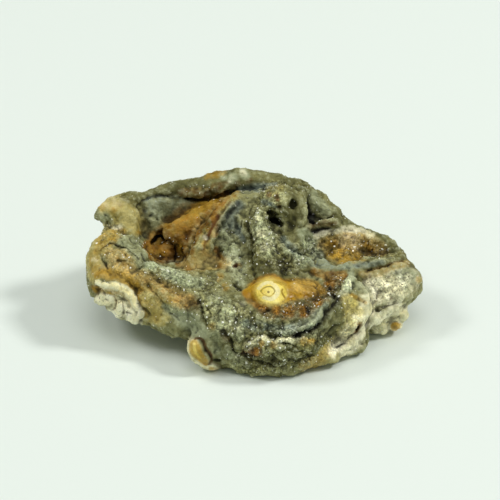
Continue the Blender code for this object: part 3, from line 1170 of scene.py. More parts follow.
        # Painted highlight: the crests grow paler toward the crest colour, less on the warm colours and the
        # painted shade
        pale = line(mottle["Fine"], self.crest_highlight_grain, self.crest_highlight_base)
        frost_and_highlight = times(remap(build, relief, 0.55, 0.9), pale)
        warm = masks[Pigment.PAINTED_SHADE]
        for pigment in (Pigment.RUST, Pigment.UMBER, Pigment.OCHRE, Pigment.HONEY):
            warm = math_node(build, "MAXIMUM", warm, masks[pigment])
        frost_and_highlight = times(frost_and_highlight, line(warm, -self.warm_highlight_loss, 1.0))
        colour = blend(build, frost_and_highlight, colour, self.frost_and_highlight)
        chalk = stored(build, Growth.CHALK.value)
        dots = times(times(mottle["Specks"], chalk), mottle["Middle"])
        colour = blend(build, dots, colour, self.speck)
        return {
            "colour": colour, "fine": mottle["Fine"], "grit": mottle["Grit"],
            "honey": masks[Pigment.HONEY]}

    def stone(self) -> bpy.types.Material:
        """The skin's material.

        Returns:
            The material.
        """
        material = bpy.data.materials.new("rose_stone")
        material.use_nodes = True
        build = Tree(material.node_tree)
        parts = self.colours(build)
        gloss = remap(build, parts["fine"], 0.0, 1.0, *self.gloss)
        honey = math_node(build, "MULTIPLY", parts["honey"], self.honey_gloss)
        gloss = math_node(build, "SUBTRACT", gloss, honey)
        rough = math_node(build, "MULTIPLY_ADD", parts["fine"], 0.5, parts["grit"])
        bump = build.node("ShaderNodeBump", {"Strength": 0.55, "Distance": 0.14 * MM, "Height": rough})
        shader = build.node("ShaderNodeBsdfPrincipled", {
            "Base Color": parts["colour"], "Roughness": gloss, "Normal": bump.outputs[0],
            "Specular IOR Level": 0.14, "Coat Roughness": 0.25,
            "Coat Weight": math_node(build, "MULTIPLY", parts["honey"], 0.2),
            "Subsurface Weight": 0.1, "Subsurface Scale": 0.8 * MM,
            "Subsurface Radius": (1.0, 0.85, 0.55)})
        build.node("ShaderNodeOutputMaterial", {"Surface": shader.outputs[0]})
        return material

    def quartz(self) -> bpy.types.Material:
        """The material of the quartz points: the colour below each, darker or lighter, and a few painted
        white as glints.

        Returns:
            The material.
        """
        material = bpy.data.materials.new("quartz_sugar")
        material.use_nodes = True
        build = Tree(material.node_tree)
        parts = self.colours(build)
        shine = stored(build, "shine")
        tone = math_node(build, "MULTIPLY_ADD", shine, self.point_range, self.point_dark)
        own = scaled(build, parts["colour"], tone)
        colour = blend(build, remap(build, shine, *self.glints), own, self.glint)
        shader = build.node("ShaderNodeBsdfPrincipled", {
            "Base Color": colour, "Roughness": 0.14, "Specular IOR Level": 0.3})
        build.node("ShaderNodeOutputMaterial", {"Surface": shader.outputs[0]})
        return material


# Small round feet under the front edge: x, y, z and radius in millimetres
FEET: tuple[tuple[float, float, float, float], ...] = (
    (-5.0, -14.0, 1.3, 1.4), (-1.0, -15.4, 1.3, 1.4), (3.0, -15.6, 1.3, 1.4), (7.0, -15.0, 1.5, 1.5),
    (12.5, -12.0, 1.3, 1.5),
)
# Folds, grooves and hollows, worked into the first skin: half widths in pixels, heights in millimetres,
# and for some the painted shade laid into the groove
FORMS: tuple[Mark, ...] = (
    Mark("notch under the left knob", (
        (92, 229), (99, 226), (107, 228), (118, 230), (130, 233)), 5, -0.8),
    Mark("notch beside the left knob", ((98, 223), (96, 229)), 5, -1.0),
    Mark("hollow in the left knob", ((104, 215),), 6, -0.45),
    Mark("top of the left knob", ((104, 203), (114, 201), (125, 202)), 6, 0.4),
    Mark("crease behind the left knob", ((131, 208), (137, 217), (142, 228), (144, 238)), 4, -0.5),
    Mark("crevice under the back rim, left", (
        (135, 207), (141, 202), (150, 198), (162, 196), (176, 196)), 4.5, -0.9),
    Mark("crevice under the back rim, middle", (
        (176, 196), (190, 198), (205, 199), (218, 197), (230, 193), (242, 190)), 3.5, -0.5),
    Mark("underside of the back rim", (
        (180, 192), (192, 192), (204, 192), (216, 190), (226, 186)), 5, 1.0),
    Mark("crevice under the back rim, right", ((242, 190), (255, 187), (266, 185)), 4, -0.7),
    Mark("dark bay at the basin's left", ((139, 208), (143, 216), (146, 228)), 6, -0.8),
    Mark("left lobe", ((96, 245), (94, 262), (96, 275)), 9, 0.5),
    Mark("groove right of the left lobe", ((144, 262), (137, 268), (131, 272)), 5, -0.5),
    Mark("tan nodule", ((111, 259), (124, 260)), 9, 0.7),
    Mark("ochre furrow", (
        (108, 273), (118, 276), (128, 283), (137, 292), (142, 304), (147, 314)), 6, -0.6),
    Mark("cream band", (
        (98, 281), (107, 284), (117, 288), (126, 294), (134, 302), (139, 311), (139, 320)), 3.2, 0.5),
    Mark("first puff", ((101, 299),), 6, 0.8, Profile.DOME),
    Mark("second puff", ((112, 301),), 5.5, 0.8, Profile.DOME),
    Mark("third puff", ((121, 308),), 6, 0.8, Profile.DOME),
    Mark("fourth puff", ((111, 312),), 5, 0.4, Profile.DOME),
    Mark("fifth puff", ((130, 312),), 5, 0.4, Profile.DOME),
    Mark("furrow under the cream band", ((96, 288), (106, 292), (115, 295), (124, 302)), 3.5, -0.45),
    Mark("furrow of the front left face", ((146, 284), (155, 293), (163, 303), (170, 314)), 4, -0.7),
    Mark("upper furrow of the front left face", (
        (158, 280), (170, 289), (182, 295), (190, 297)), 3.5, -0.6),
    Mark("tan rib of the front left face", ((152, 284), (164, 295), (175, 305), (184, 312)), 5, 0.5),
    Mark("druse pocket at the left", ((188, 303), (195, 306)), 7, -0.8),
    Mark("crevice left of the nose", ((201, 297), (201, 308), (202, 318), (206, 326)), 3.5, -1.3),
    Mark("front left crest", ((145, 265), (158, 268), (172, 273), (186, 279), (198, 281)), 5, 0.5),
    Mark("ledge below the crest", ((150, 275), (165, 281), (180, 289), (192, 294)), 4, -0.4),
    Mark("petal ridge", (
        (238, 196), (228, 204), (219, 213), (211, 224), (204, 237), (197, 249), (189, 260)), 6, 0.5),
    Mark("rib of the petal ridge", (
        (233, 206), (223, 216), (216, 228), (212, 241), (210, 252)), 3.5, 0.5),
    Mark("furrow of the petal ridge", ((222, 211), (212, 221), (205, 233), (200, 246)), 3, -0.6),
    Mark("flank of the petal ridge", ((201, 222), (196, 236), (191, 248), (186, 260)), 4, -0.6),
    Mark("blue groove", ((240, 204), (231, 213), (225, 222), (220, 232), (216, 244)), 5.5, -0.5),
    Mark("blue pocket", ((234, 226), (240, 233), (244, 240)), 4, -0.4),
    Mark("side ridge", ((236, 216), (243, 223), (248, 233), (250, 244)), 3.5, 0.6),
    Mark("groove left of the central fold", (
        (247, 224), (251, 238), (252, 252), (252, 265), (254, 277)), 4, -1.2),
    Mark("central fold", ((258, 215), (262, 226), (267, 240), (270, 252)), 7, 0.8),
    Mark("groove right of the central fold", ((279, 232), (284, 243), (293, 251), (304, 258)), 4, -0.9),
    Mark("foot of the central fold", ((264, 262), (270, 268)), 5, -0.5),
    Mark("tip of the valley", ((232, 268), (238, 279), (243, 286)), 7, 0.45),
    Mark("hollow of the apex", ((294, 196), (293, 206)), 5, -0.6),
    Mark("left post of the apex", ((283, 190), (284, 202), (286, 214)), 3.5, 0.5),
    Mark("right post of the apex", ((299, 190), (303, 200), (304, 212), (301, 224)), 3.5, 0.7),
    Mark("trough right of the apex", ((308, 196), (307, 208), (309, 217), (313, 224)), 4, -1.3),
    Mark("upper lobe at the right back", ((316, 199), (322, 205)), 7, 0.5),
    Mark("crevice under the right back lobes", (
        (311, 214), (318, 217), (328, 217), (333, 215)), 3.5, -0.9),
    Mark("brown lip", ((307, 228), (314, 225), (323, 221), (333, 221), (338, 226)), 3.5, 0.8),
    Mark("gap under the brown lip", ((313, 232), (321, 231), (329, 228)), 3.5, -1.3),
    Mark("floor of the right basin", ((335, 246), (352, 249), (372, 252)), 12, -0.5),
    Mark("right end of the right basin", ((374, 252), (386, 253)), 7, -0.6),
    Mark("right rim", ((384, 236), (396, 246), (405, 256)), 5, 0.4),
    Mark("blue ridge", (
        (281, 246), (295, 256), (308, 263), (325, 267), (345, 268), (362, 264), (384, 261)), 4, 0.6),
    Mark("furrow under the right rim", ((366, 271), (378, 268), (390, 265), (402, 260)), 3, -0.8),
    Mark("furrow above the honey pool", (
        (306, 272), (318, 276), (330, 280), (342, 279), (349, 274)), 4, -0.5),
    Mark("quartz lobe", ((343, 290), (348, 283)), 6, 0.7),
    Mark("gap behind the front right lobe", ((357, 276), (353, 284), (350, 294)), 3, -0.9),
    Mark("front right lobe", ((362, 290), (365, 305), (362, 318), (352, 330)), 7, 0.5),
    Mark("gap beside the cream edge", ((371, 297), (374, 308), (372, 320), (367, 328)), 3, -0.9),
    Mark("hollow between the chalk and the lobes", (
        (378, 311), (384, 309), (392, 305), (398, 302)), 3.5, -1.0),
    Mark("lobes at the lower right", ((400, 310), (402, 318)), 6, 0.6),
    Mark("lobe beside the ochre nodule", ((378, 324), (386, 330)), 7, 0.5),
    Mark("ochre nodule", ((395, 326),), 5, 0.7, Profile.DOME),
    Mark("crease round the ochre nodule", ((388, 322), (390, 331)), 2.5, -0.5),
    Mark("chalk tip", ((412, 272), (417, 279)), 6, 0.3),
    Mark("crevice below the druse", (
        (339, 299), (332, 306), (326, 313), (321, 321), (314, 328), (305, 332),
        (296, 336)), 4, -1.4, recess_shade=0.9),
    Mark("lip of the blue band", (
        (327, 301), (320, 311), (312, 321), (300, 329), (285, 333), (268, 334)), 4, 0.7),
    Mark("groove under the druse", ((250, 312), (262, 321), (276, 325), (290, 323), (300, 319)), 4, -0.5),
    Mark("hollow under the blue band", (
        (250, 334), (262, 335), (276, 337), (292, 338), (306, 336)), 3, -0.6),
    Mark("tan crest", ((248, 345), (260, 341), (274, 343), (290, 342), (301, 339), (310, 342)), 4, 0.7),
    Mark("dark line in the tan crest", ((284, 346), (296, 347)), 2, -0.4),
    Mark("groove under the tan crest", (
        (234, 352), (246, 355), (258, 357), (270, 355), (288, 353), (304, 352)), 4, -0.8),
    Mark("rusty shelf", ((245, 351), (258, 351)), 3.5, 0.4),
    Mark("crevice in the nose", (
        (228, 334), (230, 342), (233, 350), (243, 356), (256, 361), (270, 365)), 3, -0.65),
    Mark("pit in the nose", ((225, 333),), 5, -0.9),
    Mark("lobe left of the crest", ((240, 337), (244, 328)), 8, 0.6),
    Mark("lobe at the nose's left", ((222, 306), (228, 315)), 9, 0.5),
    Mark("lobe under the valley", ((213, 286), (218, 293)), 8, 0.4),
    Mark("crease right of that lobe", ((230, 281), (237, 286), (240, 291)), 3.5, -0.9),
    Mark("lower lobe of the nose", ((286, 360), (262, 371)), 9, 0.5),
    Mark("lower right lobe of the nose", ((312, 358), (300, 366)), 8, 0.5),
    Mark("honey nodule", ((200, 342), (203, 354), (212, 364)), 7, 0.2),
    Mark("crevice beside the honey nodule", (
        (198, 337), (204, 345), (208, 353), (212, 359), (221, 361)), 2.0, -0.7, recess_shade=0.45),
    Mark("honey lens", ((252, 293), (270, 292), (290, 291), (310, 290)), 13, 0.5),
    Mark("honey orb", ((269, 292),), 17, 0.6, Profile.DOME),
    Mark("flange at the lower right", ((345, 349), (357, 340), (363, 331)), 5, 0.4),
    Mark("gap above the flange", ((337, 347), (345, 340), (355, 332), (359, 325)), 2.5, -0.9, recess_shade=0.4),
)
# Holes, pits, cracks, creases and a nub, worked into the fine skin, in the same units; most also get
# painted shade in their bottoms
DETAILS: tuple[Mark, ...] = (
    Mark("large black hole", ((270, 219), (276, 221), (280, 226)), 3.6, -1.0, Profile.STEP, recess_shade=1.0),
    Mark("small hole of the apex", ((270, 213),), 4, -0.8, Profile.STEP, recess_shade=0.8),
    Mark("spot hole of the apex", ((280, 206),), 2.5, -0.5, Profile.ROUND, recess_shade=0.7),
    Mark("ring over the black hole", ((265, 216), (273, 217), (281, 216)), 1.8, 0.3),
    Mark("pit of the back wall", ((151, 214),), 3, -0.5, Profile.ROUND, recess_shade=0.8),
    Mark("second pit of the back wall", ((158, 219),), 2.5, -0.4, Profile.ROUND, recess_shade=0.5),
    Mark("arch hole", (
        (153, 243), (157, 238), (162, 236), (167, 239), (172, 244),
        (177, 246)), 2.8, -0.9, Profile.STEP, recess_shade=1.0),
    Mark("slot of the cavity", ((175, 248), (175, 255), (173, 261)), 2.2, -0.7, Profile.STEP, recess_shade=0.8),
    Mark("slot under the nub", (
        (184, 256), (181, 261), (174, 262), (166, 262)), 1.8, -0.5, Profile.ROUND, recess_shade=0.8),
    Mark("nub of the cavity", ((180, 246), (181, 254)), 3, 0.5),
    Mark("pit of the basin", ((235, 267),), 2.4, -0.45, Profile.ROUND, recess_shade=0.4),
    Mark("crack over the tan nodule", (
        (104, 248), (110, 244), (118, 246), (126, 248), (132, 252),
        (138, 259)), 2.0, -0.7, Profile.SHARP, recess_shade=1.0),
    Mark("crack under the tan nodule", (
        (101, 256), (104, 264), (108, 270)), 1.8, -0.6, Profile.SHARP, recess_shade=0.9),
    Mark("brown crack of the tan nodule", ((117, 261), (125, 261)), 1.8, -0.3, Profile.ROUND, recess_shade=0.5),
    Mark("crack behind the left lobe", (
        (141, 253), (144, 260), (147, 262)), 1.8, -0.4, Profile.SHARP, recess_shade=0.8),
    Mark("dark dot of the knob", ((105, 215),), 2, -0.3, Profile.ROUND, recess_shade=0.6),
    Mark("gap of the white nodules", ((106, 310), (109, 313)), 2, -0.5, Profile.ROUND, recess_shade=0.8),
    Mark("first crease of the white nodules", (
        (114, 296), (117, 303), (114, 309)), 1.8, -0.4, Profile.SHARP),
    Mark("second crease of the white nodules", (
        (123, 303), (124, 311), (122, 317)), 1.8, -0.4, Profile.SHARP),
    Mark("third crease of the white nodules", (
        (98, 304), (107, 306), (113, 304)), 1.6, -0.3, Profile.SHARP),
    Mark("fourth crease of the white nodules", (
        (127, 313), (133, 315)), 1.6, -0.3, Profile.SHARP, recess_shade=0.4),
    Mark("foot of the cream band", (
        (137, 325), (141, 321), (144, 317)), 1.8, -0.4, Profile.SHARP, recess_shade=0.6),
    Mark("crevice of the crest's foot", (
        (170, 312), (175, 317), (178, 320)), 1.8, -0.3, Profile.SHARP, recess_shade=0.15),
    Mark("slit left of the nose", (
        (202, 301), (202, 309), (202, 317)), 1.6, -0.6, Profile.SHARP, recess_shade=0.9),
    Mark("slit of the furrow", ((368, 270), (372, 269)), 1.6, -0.4, Profile.SHARP, recess_shade=0.8),
    Mark("long slit under the right rim", (
        (380, 269), (390, 266), (400, 262)), 1.3, -0.4, Profile.SHARP, recess_shade=0.5),
    Mark("slit of the front right lobe", ((361, 282), (366, 288)), 1.2, -0.3, Profile.SHARP, recess_shade=0.7),
    Mark("dark hole in the lower right", ((377, 311), (381, 312)), 2.4, -0.6, Profile.STEP, recess_shade=0.8),
    Mark("crease of the lower right", (
        (382, 311), (390, 306), (398, 303)), 1.4, -0.4, Profile.SHARP, recess_shade=0.5),
    Mark("dot of the quartz", ((334, 297),), 3, -0.7, Profile.STEP, recess_shade=0.9),
    Mark("dark crevice of the nose", (
        (230, 338), (233, 348), (236, 352)), 1.8, -0.6, Profile.SHARP, recess_shade=0.45),
    Mark("crack of the nose", (
        (240, 355), (250, 357), (262, 360), (270, 364)), 1.5, -0.4, Profile.SHARP, recess_shade=0.35),
    Mark("dark mouth of the nose", ((267, 363), (275, 366)), 2.2, -0.6, Profile.ROUND, recess_shade=0.7),
    Mark("line under the tan crest", (
        (283, 346), (290, 346), (297, 349)), 1.7, -0.5, Profile.SHARP, recess_shade=0.4),
    Mark("hole of the blue band", ((261, 326),), 2, -0.4, Profile.ROUND, recess_shade=0.8),
    Mark("pit of the druse", ((308, 311),), 2.5, -0.5, Profile.ROUND, recess_shade=0.7),
    Mark("hollow of the flange", ((359, 325), (356, 330)), 2.4, -0.7, Profile.ROUND, recess_shade=0.6),
    Mark("small crease of the flange", ((337, 347), (340, 344)), 1.6, -0.4, Profile.SHARP, recess_shade=0.6),
    Mark("dark corner of the valley", (
        (232, 283), (236, 287), (240, 290)), 2, -0.3, Profile.SHARP, recess_shade=0.2),
    Mark("crack of the side ridge", ((241, 220), (241, 227)), 1.8, -0.5, Profile.SHARP, recess_shade=0.7),
)
# Fine grooves of the orb in the eye, worked in last, over the grain
RINGS: tuple[Mark, ...] = (
    Mark("ring of the orb", (
        (261, 292), (264, 288.5), (268, 286.5), (272, 287.5), (274.5, 291), (273, 294.5)), 0.7, -0.08),
    Mark("dot of the orb", ((268.5, 292.5),), 1.1, -0.1),
    Mark("crescent of the orb", ((282, 289.5), (281.5, 292), (283, 295), (285, 298)), 0.9, -0.14),
    Mark("arc of the orb", ((274, 282.5), (278, 283), (281.5, 285)), 0.8, -0.08),
)
# What colours the stone or grows on it in the photograph, from the lowest layer up; layers noted below
# are painted shade or painted highlight
STAINS: tuple[Stain, ...] = (
    Stain("back rim", Pigment.OLIVE, 0.6, (
        (112, 204, 8), (130, 196, 8), (155, 188, 8), (185, 182, 8), (210, 178, 8), (245, 177, 9),
        (280, 181, 9), (305, 189, 9), (325, 200, 9), (350, 222, 8), (380, 238, 8), (405, 255, 8),
        (420, 275, 5))),
    Stain("pale lumps of the back rim", Pigment.SAGE, 0.8, (
        (222, 176, 4), (232, 179, 6), (244, 175, 5)), joined=False),
    Stain("whitish lumps of the back rim", Pigment.CREAM, 0.4, (
        (230, 179, 4), (243, 174, 3.5)), joined=False),
    Stain("yellow patch of the back rim", Pigment.OCHRE, 0.5, (
        (207, 175, 4), (214, 173, 5), (222, 171, 4))),
    # Painted shade on the underside of the back rim
    Stain("olive underside of the back rim", Pigment.OLIVE, 0.9, (
        (178, 191, 4), (192, 192, 5), (206, 191, 5), (220, 187, 4))),
    Stain("brown underside of the back rim", Pigment.UMBER, 0.5, (
        (180, 191, 4), (192, 191, 5), (204, 191, 5), (216, 188, 4), (224, 184, 3))),
    Stain("ribs of the back rim", Pigment.SAND, 0.2, (
        (186, 189, 2), (193, 189, 2), (200, 188, 2), (207, 188, 2), (214, 186, 2)), joined=False),
    Stain("brown spots of the back rim", Pigment.UMBER, 0.45, (
        (248, 181, 4), (237, 185, 4)), joined=False),
    Stain("olive patches at the right", Pigment.OLIVE, 0.6, (
        (303, 185, 5), (313, 190, 4), (322, 197, 4)), joined=False),
    # Painted shade in the crevice under the rim
    Stain("crevice under the rim", Pigment.PAINTED_SHADE, 0.75, (
        (137, 206, 3), (143, 201, 2.5), (152, 198, 2), (165, 196, 2), (185, 198, 1.8), (205, 200, 2),
        (218, 198, 3), (230, 193, 3), (239, 191, 2))),
    # Painted shade in the right end of the crevice
    Stain("blue end of the crevice", Pigment.SLATE, 0.8, (
        (240, 190, 3), (255, 187, 4), (268, 185, 3), (276, 183, 2))),
    Stain("back wall of the left basin", Pigment.SLATE, 0.4, (
        (152, 206, 9), (168, 207, 9), (183, 204, 7), (195, 202, 4))),
    Stain("green of the back wall", Pigment.SAGE, 0.55, (
        (154, 208, 7), (168, 210, 8), (182, 206, 5), (158, 222, 6))),
    # Painted shade in the dark bay
    Stain("dark bay", Pigment.PAINTED_SHADE, 0.6, ((140, 207, 4), (144, 215, 4), (147, 226, 5), (147, 236, 3))),
    Stain("left knob", Pigment.STRAW, 0.8, (
        (108, 206, 9), (122, 207, 11), (132, 216, 10), (136, 228, 8), (120, 220, 8))),
    Stain("grey of the left knob", Pigment.OLIVE, 0.75, ((125, 199, 5), (137, 206, 5))),
    Stain("pale top of the left knob", Pigment.CREAM, 0.15, (
        (107, 203, 5), (115, 202, 4), (123, 203, 3))),
    Stain("ochre of the left knob", Pigment.OCHRE, 0.6, (
        (103, 207, 3), (100, 206, 3), (113, 209, 3), (139, 233, 3)), joined=False),
    Stain("tan shoulder of the left knob", Pigment.SAND, 0.3, (
        (101, 205, 4), (110, 204, 4), (118, 206, 3))),
    Stain("blue spot of the left knob", Pigment.SAGE, 0.6, ((105, 216, 5),)),
    Stain("pale row under the knob", Pigment.CREAM, 0.8, ((102, 226, 3), (110, 227, 3), (120, 227, 3))),
    Stain("left lobe", Pigment.STRAW, 0.8, ((106, 236, 10), (98, 248, 10), (94, 262, 9), (95, 275, 7))),
    Stain("ochre of the left lobe", Pigment.OCHRE, 0.45, (
        (100, 240, 6), (110, 236, 5), (122, 233, 4), (98, 252, 5), (96, 272, 4))),
    Stain("grey of the left lobe", Pigment.SAGE, 0.4, (
        (124, 240, 6), (134, 246, 8), (140, 255, 6), (141, 265, 5))),
    Stain("tan nodule", Pigment.SAND, 0.7, ((112, 256, 7), (120, 259, 9), (126, 265, 7))),
    Stain("rose tint of the tan nodule", Pigment.RUST, 0.28, (
        (116, 261, 4), (124, 266, 4), (131, 271, 3)), joined=False),
    # Painted highlight on the left lobe
    Stain("white spot of the left lobe", Pigment.CREAM, 0.35, ((95, 260, 1.6), (98, 262, 1.6))),
    Stain("tan beside the ochre stripe", Pigment.SAND, 0.7, (
        (104, 272, 5), (116, 271, 7), (130, 275, 8), (142, 284, 8), (150, 296, 8), (154, 308, 7),
        (156, 318, 6))),
    Stain("ochre stripe", Pigment.OCHRE, 0.75, (
        (98, 274, 3), (108, 274, 4.5), (118, 276, 6), (128, 281, 7), (136, 288, 6), (142, 297, 5),
        (145, 307, 4), (147, 315, 3))),
    Stain("cream band", Pigment.CREAM, 0.9, (
        (98, 281, 2.5), (107, 284, 3), (116, 288, 4), (125, 293, 5), (133, 301, 5), (138, 310, 5),
        (140, 318, 4), (137, 324, 3)), crisp=1.6),
    Stain("white line of the cream band", Pigment.IVORY, 0.25, (
        (98, 280, 1.5), (107, 283, 1.5), (117, 287, 1.5), (126, 292, 1.5), (134, 300, 1.5),
        (138, 308, 1.5))),
    Stain("tan line of the cream band", Pigment.SAND, 0.55, (
        (102, 285, 1), (112, 289, 1), (121, 293, 1.2), (129, 300, 1.2), (134, 308, 1)), crisp=1.5),
    Stain("brown under the cream band", Pigment.OCHRE, 0.8, (
        (94, 287, 3), (101, 291, 4), (109, 292, 3), (116, 295, 2))),
    Stain("white nodules", Pigment.CREAM, 1.0, (
        (103, 299, 7), (112, 300, 6), (120, 307, 7), (112, 314, 5), (129, 311, 6), (131, 320, 5))),
    Stain("first brown crease of the nodules", Pigment.OCHRE, 0.35, (
        (114, 296, 1.2), (117, 303, 1.2), (114, 309, 1.2))),
    Stain("second brown crease of the nodules", Pigment.UMBER, 0.25, (
        (123, 303, 1.2), (124, 311, 1.2), (122, 317, 1.2))),
    Stain("third brown crease of the nodules", Pigment.UMBER, 0.25, (
        (98, 304, 1), (107, 307, 1.2), (113, 304, 1))),
    Stain("front left face", Pigment.SAND, 0.8, (
        (144, 276, 6), (154, 284, 8), (166, 290, 9), (178, 296, 9), (188, 300, 7))),
    Stain("straw of the front left face", Pigment.STRAW, 0.5, (
        (150, 290, 7), (164, 300, 8), (174, 306, 7))),
    Stain("rose tint of the face", Pigment.RUST, 0.25, (
        (147, 285, 5), (160, 291, 6), (174, 297, 6), (184, 300, 5))),
    Stain("straw of the face", Pigment.STRAW, 0.7, ((148, 298, 6), (152, 308, 8), (160, 317, 8))),
    Stain("ochre foot of the face", Pigment.STRAW, 0.4, ((146, 321, 4), (158, 323, 4), (169, 313, 4))),
    Stain("grey foot of the face", Pigment.SAGE, 0.8, (
        (165, 306, 4), (176, 314, 6), (190, 322, 9), (200, 332, 8))),
    Stain("rust druse of the face", Pigment.RUST, 0.35, ((178, 303, 5), (187, 303, 6), (195, 302, 5))),
    Stain("dark of that druse", Pigment.UMBER, 0.3, ((196, 299, 3), (200, 306, 3), (190, 310, 3))),
    Stain("front left crest", Pigment.SAGE, 0.85, (
        (146, 265, 4), (160, 269, 5), (173, 275, 6), (186, 280, 6), (199, 282, 6))),
    # Painted shade along the ledge below the crest
    Stain("dark line of the crest", Pigment.OLIVE, 0.3, ((150, 274, 3), (165, 281, 3), (180, 290, 3))),
    Stain("orange slope", Pigment.RUST, 0.85, (
        (236, 194, 3), (224, 198, 6), (212, 204, 9), (199, 213, 12), (186, 223, 14), (173, 233, 13),
        (160, 240, 10), (150, 246, 6))),
    Stain("lower part of the orange slope", Pigment.RUST, 0.6, (
        (196, 226, 9), (190, 238, 8), (184, 248, 6))),
    Stain("upper part of the orange slope", Pigment.OCHRE, 0.6, (
        (216, 199, 5), (206, 204, 6), (196, 211, 7))),
    Stain("light of the orange slope", Pigment.OCHRE, 0.35, (
        (222, 197, 4), (208, 204, 7), (195, 212, 10), (182, 221, 11), (170, 229, 10), (158, 237, 7))),
    Stain("dark of the orange slope", Pigment.UMBER, 0.35, ((200, 222, 4), (193, 232, 4), (186, 241, 4))),
    Stain("brown foot of the orange slope", Pigment.UMBER, 0.45, (
        (158, 232, 5), (167, 236, 5), (176, 238, 4))),
    Stain("rust cavity", Pigment.RUST, 0.9, (
        (147, 246, 5), (150, 254, 7), (161, 254, 8), (171, 253, 8), (184, 252, 6))),
    Stain("ochre of the cavity", Pigment.OCHRE, 0.45, ((148, 248, 4), (152, 256, 4), (160, 252, 4))),
    Stain("brown of the cavity", Pigment.UMBER, 0.6, ((172, 250, 3.5), (170, 259, 4), (158, 260, 3))),
    Stain("nub of the cavity", Pigment.OCHRE, 0.95, ((180, 246, 3), (181, 254, 3))),
    Stain("petal ridge", Pigment.STRAW, 0.4, (
        (237, 197, 4), (228, 203, 5), (219, 212, 6), (212, 223, 6), (206, 234, 6), (199, 246, 6),
        (190, 258, 5))),
    Stain("ochre of the petal ridge", Pigment.OCHRE, 0.55, (
        (221, 208, 4), (214, 219, 4), (210, 230, 4), (207, 244, 5), (203, 254, 4)), joined=False),
    Stain("brown of the petal ridge", Pigment.UMBER, 1.0, (
        (216, 216, 3), (215, 224, 5), (212, 232, 4), (206, 238, 3))),
    Stain("rust of the petal ridge", Pigment.RUST, 0.6, (
        (213, 220, 3), (208, 226, 3), (214, 234, 3), (201, 229, 3)), joined=False),
    Stain("first brown line of the petal ridge", Pigment.UMBER, 0.6, (
        (231, 204, 1.4), (222, 213, 1.6), (214, 224, 1.8), (208, 238, 1.6), (203, 252, 1.4))),
    Stain("second brown line of the petal ridge", Pigment.RUST, 0.7, (
        (226, 203, 1.4), (215, 212, 1.6), (205, 225, 1.8), (198, 239, 1.8), (192, 253, 1.6))),
    Stain("pale line of the petal ridge", Pigment.STRAW, 0.3, (
        (236, 201, 1.5), (226, 211, 1.6), (219, 222, 1.8), (212, 237, 1.8), (208, 250, 1.5))),
    Stain("grey flank of the petal ridge", Pigment.SAND, 0.5, (
        (202, 215, 3), (198, 228, 4), (193, 240, 4), (189, 252, 3))),
    Stain("pale spot of the petal ridge", Pigment.CREAM, 0.55, ((206, 238, 2.5),)),
    Stain("floor of the left basin", Pigment.SAND, 0.85, (
        (180, 265, 5), (192, 263, 8), (205, 261, 10), (218, 262, 8), (226, 266, 5))),
    Stain("pale of the basin floor", Pigment.STRAW, 0.35, ((196, 266, 5), (210, 268, 5))),
    Stain("ochre of the basin floor", Pigment.STRAW, 0.4, ((200, 256, 5), (212, 266, 5))),
    Stain("rust of the basin floor", Pigment.RUST, 0.75, (
        (216, 250, 3), (219, 255, 4), (225, 259, 3), (219, 267, 3), (190, 270, 4),
        (178, 265, 3)), joined=False),
    Stain("valley", Pigment.SAGE, 0.55, (
        (222, 236, 6), (228, 246, 9), (234, 258, 10), (238, 270, 8), (241, 282, 5))),
    Stain("pale of the valley", Pigment.CREAM, 0.05, ((234, 262, 6), (240, 276, 5))),
    Stain("pit of the valley", Pigment.UMBER, 1.0, ((235, 267, 2.5),)),
    Stain("ochre beside that pit", Pigment.OCHRE, 0.5, ((239, 267, 2.5),)),
    # Painted shade in the blue groove and its dark bottom
    Stain("blue groove", Pigment.SLATE, 0.7, (
        (240, 206, 4.8), (231, 214, 6), (226, 223, 6), (233, 226, 6), (240, 233, 4.8), (244, 240, 3.6))),
    Stain("dark of the blue groove", Pigment.PAINTED_SHADE, 0.6, (
        (238, 206, 3), (230, 213, 3), (222, 222, 3), (218, 231, 2))),
    Stain("central fold", Pigment.SAGE, 0.5, (
        (259, 216, 4), (262, 228, 7), (266, 240, 8), (270, 251, 7))),
    # Pale on the fold's crest: partly its own colour and partly painted highlight
    Stain("frost of the central fold", Pigment.CREAM, 0.3, (
        (258, 218, 3), (262, 234, 4), (267, 246, 5)), joined=False),
    Stain("slope right of the fold", Pigment.SAGE, 0.6, ((286, 250, 4), (294, 258, 5), (303, 266, 4))),
    # Painted shade at the foot of the central fold, in its dark bottom and in the groove left of the fold
    Stain("foot of the central fold", Pigment.OLIVE, 0.8, (
        (256, 262, 6), (266, 268, 7), (278, 264, 8), (289, 262, 6), (284, 272, 5))),
    Stain("dark of that foot", Pigment.PAINTED_SHADE, 0.3, ((262, 270, 4), (276, 270, 5), (290, 266, 4))),
    Stain("groove left of the fold", Pigment.OLIVE, 0.8, (
        (246, 226, 3), (250, 238, 4), (252, 250, 4), (252, 264, 4), (253, 278, 4))),
    Stain("apex", Pigment.STRAW, 0.25, ((272, 189, 6), (282, 187, 5))),
    Stain("brown spots of the apex", Pigment.UMBER, 0.65, (
        (278, 197, 3), (279, 205, 3), (270, 194, 3)), joined=False),
    Stain("blue of the apex", Pigment.SLATE, 0.6, ((263, 202, 3), (270, 203, 3), (276, 206, 2))),
    Stain("olive of the apex", Pigment.OLIVE, 0.55, ((290, 210, 5), (291, 222, 5), (290, 232, 4))),
    # Painted shade in the dark hollow of the apex and its core
    Stain("dark hollow of the apex", Pigment.OLIVE, 0.4, ((295, 193, 5), (294, 204, 6))),
    Stain("core of that hollow", Pigment.PAINTED_SHADE, 0.25, ((294, 197, 3),)),
    Stain("right post", Pigment.OLIVE, 0.35, ((302, 196, 2), (304, 205, 2), (305, 215, 2))),
    Stain("right back lobes", Pigment.SAGE, 0.5, ((313, 196, 6), (320, 203, 6), (328, 211, 5))),
    # Painted shade in the trough right of the apex and in the crevice of the right back
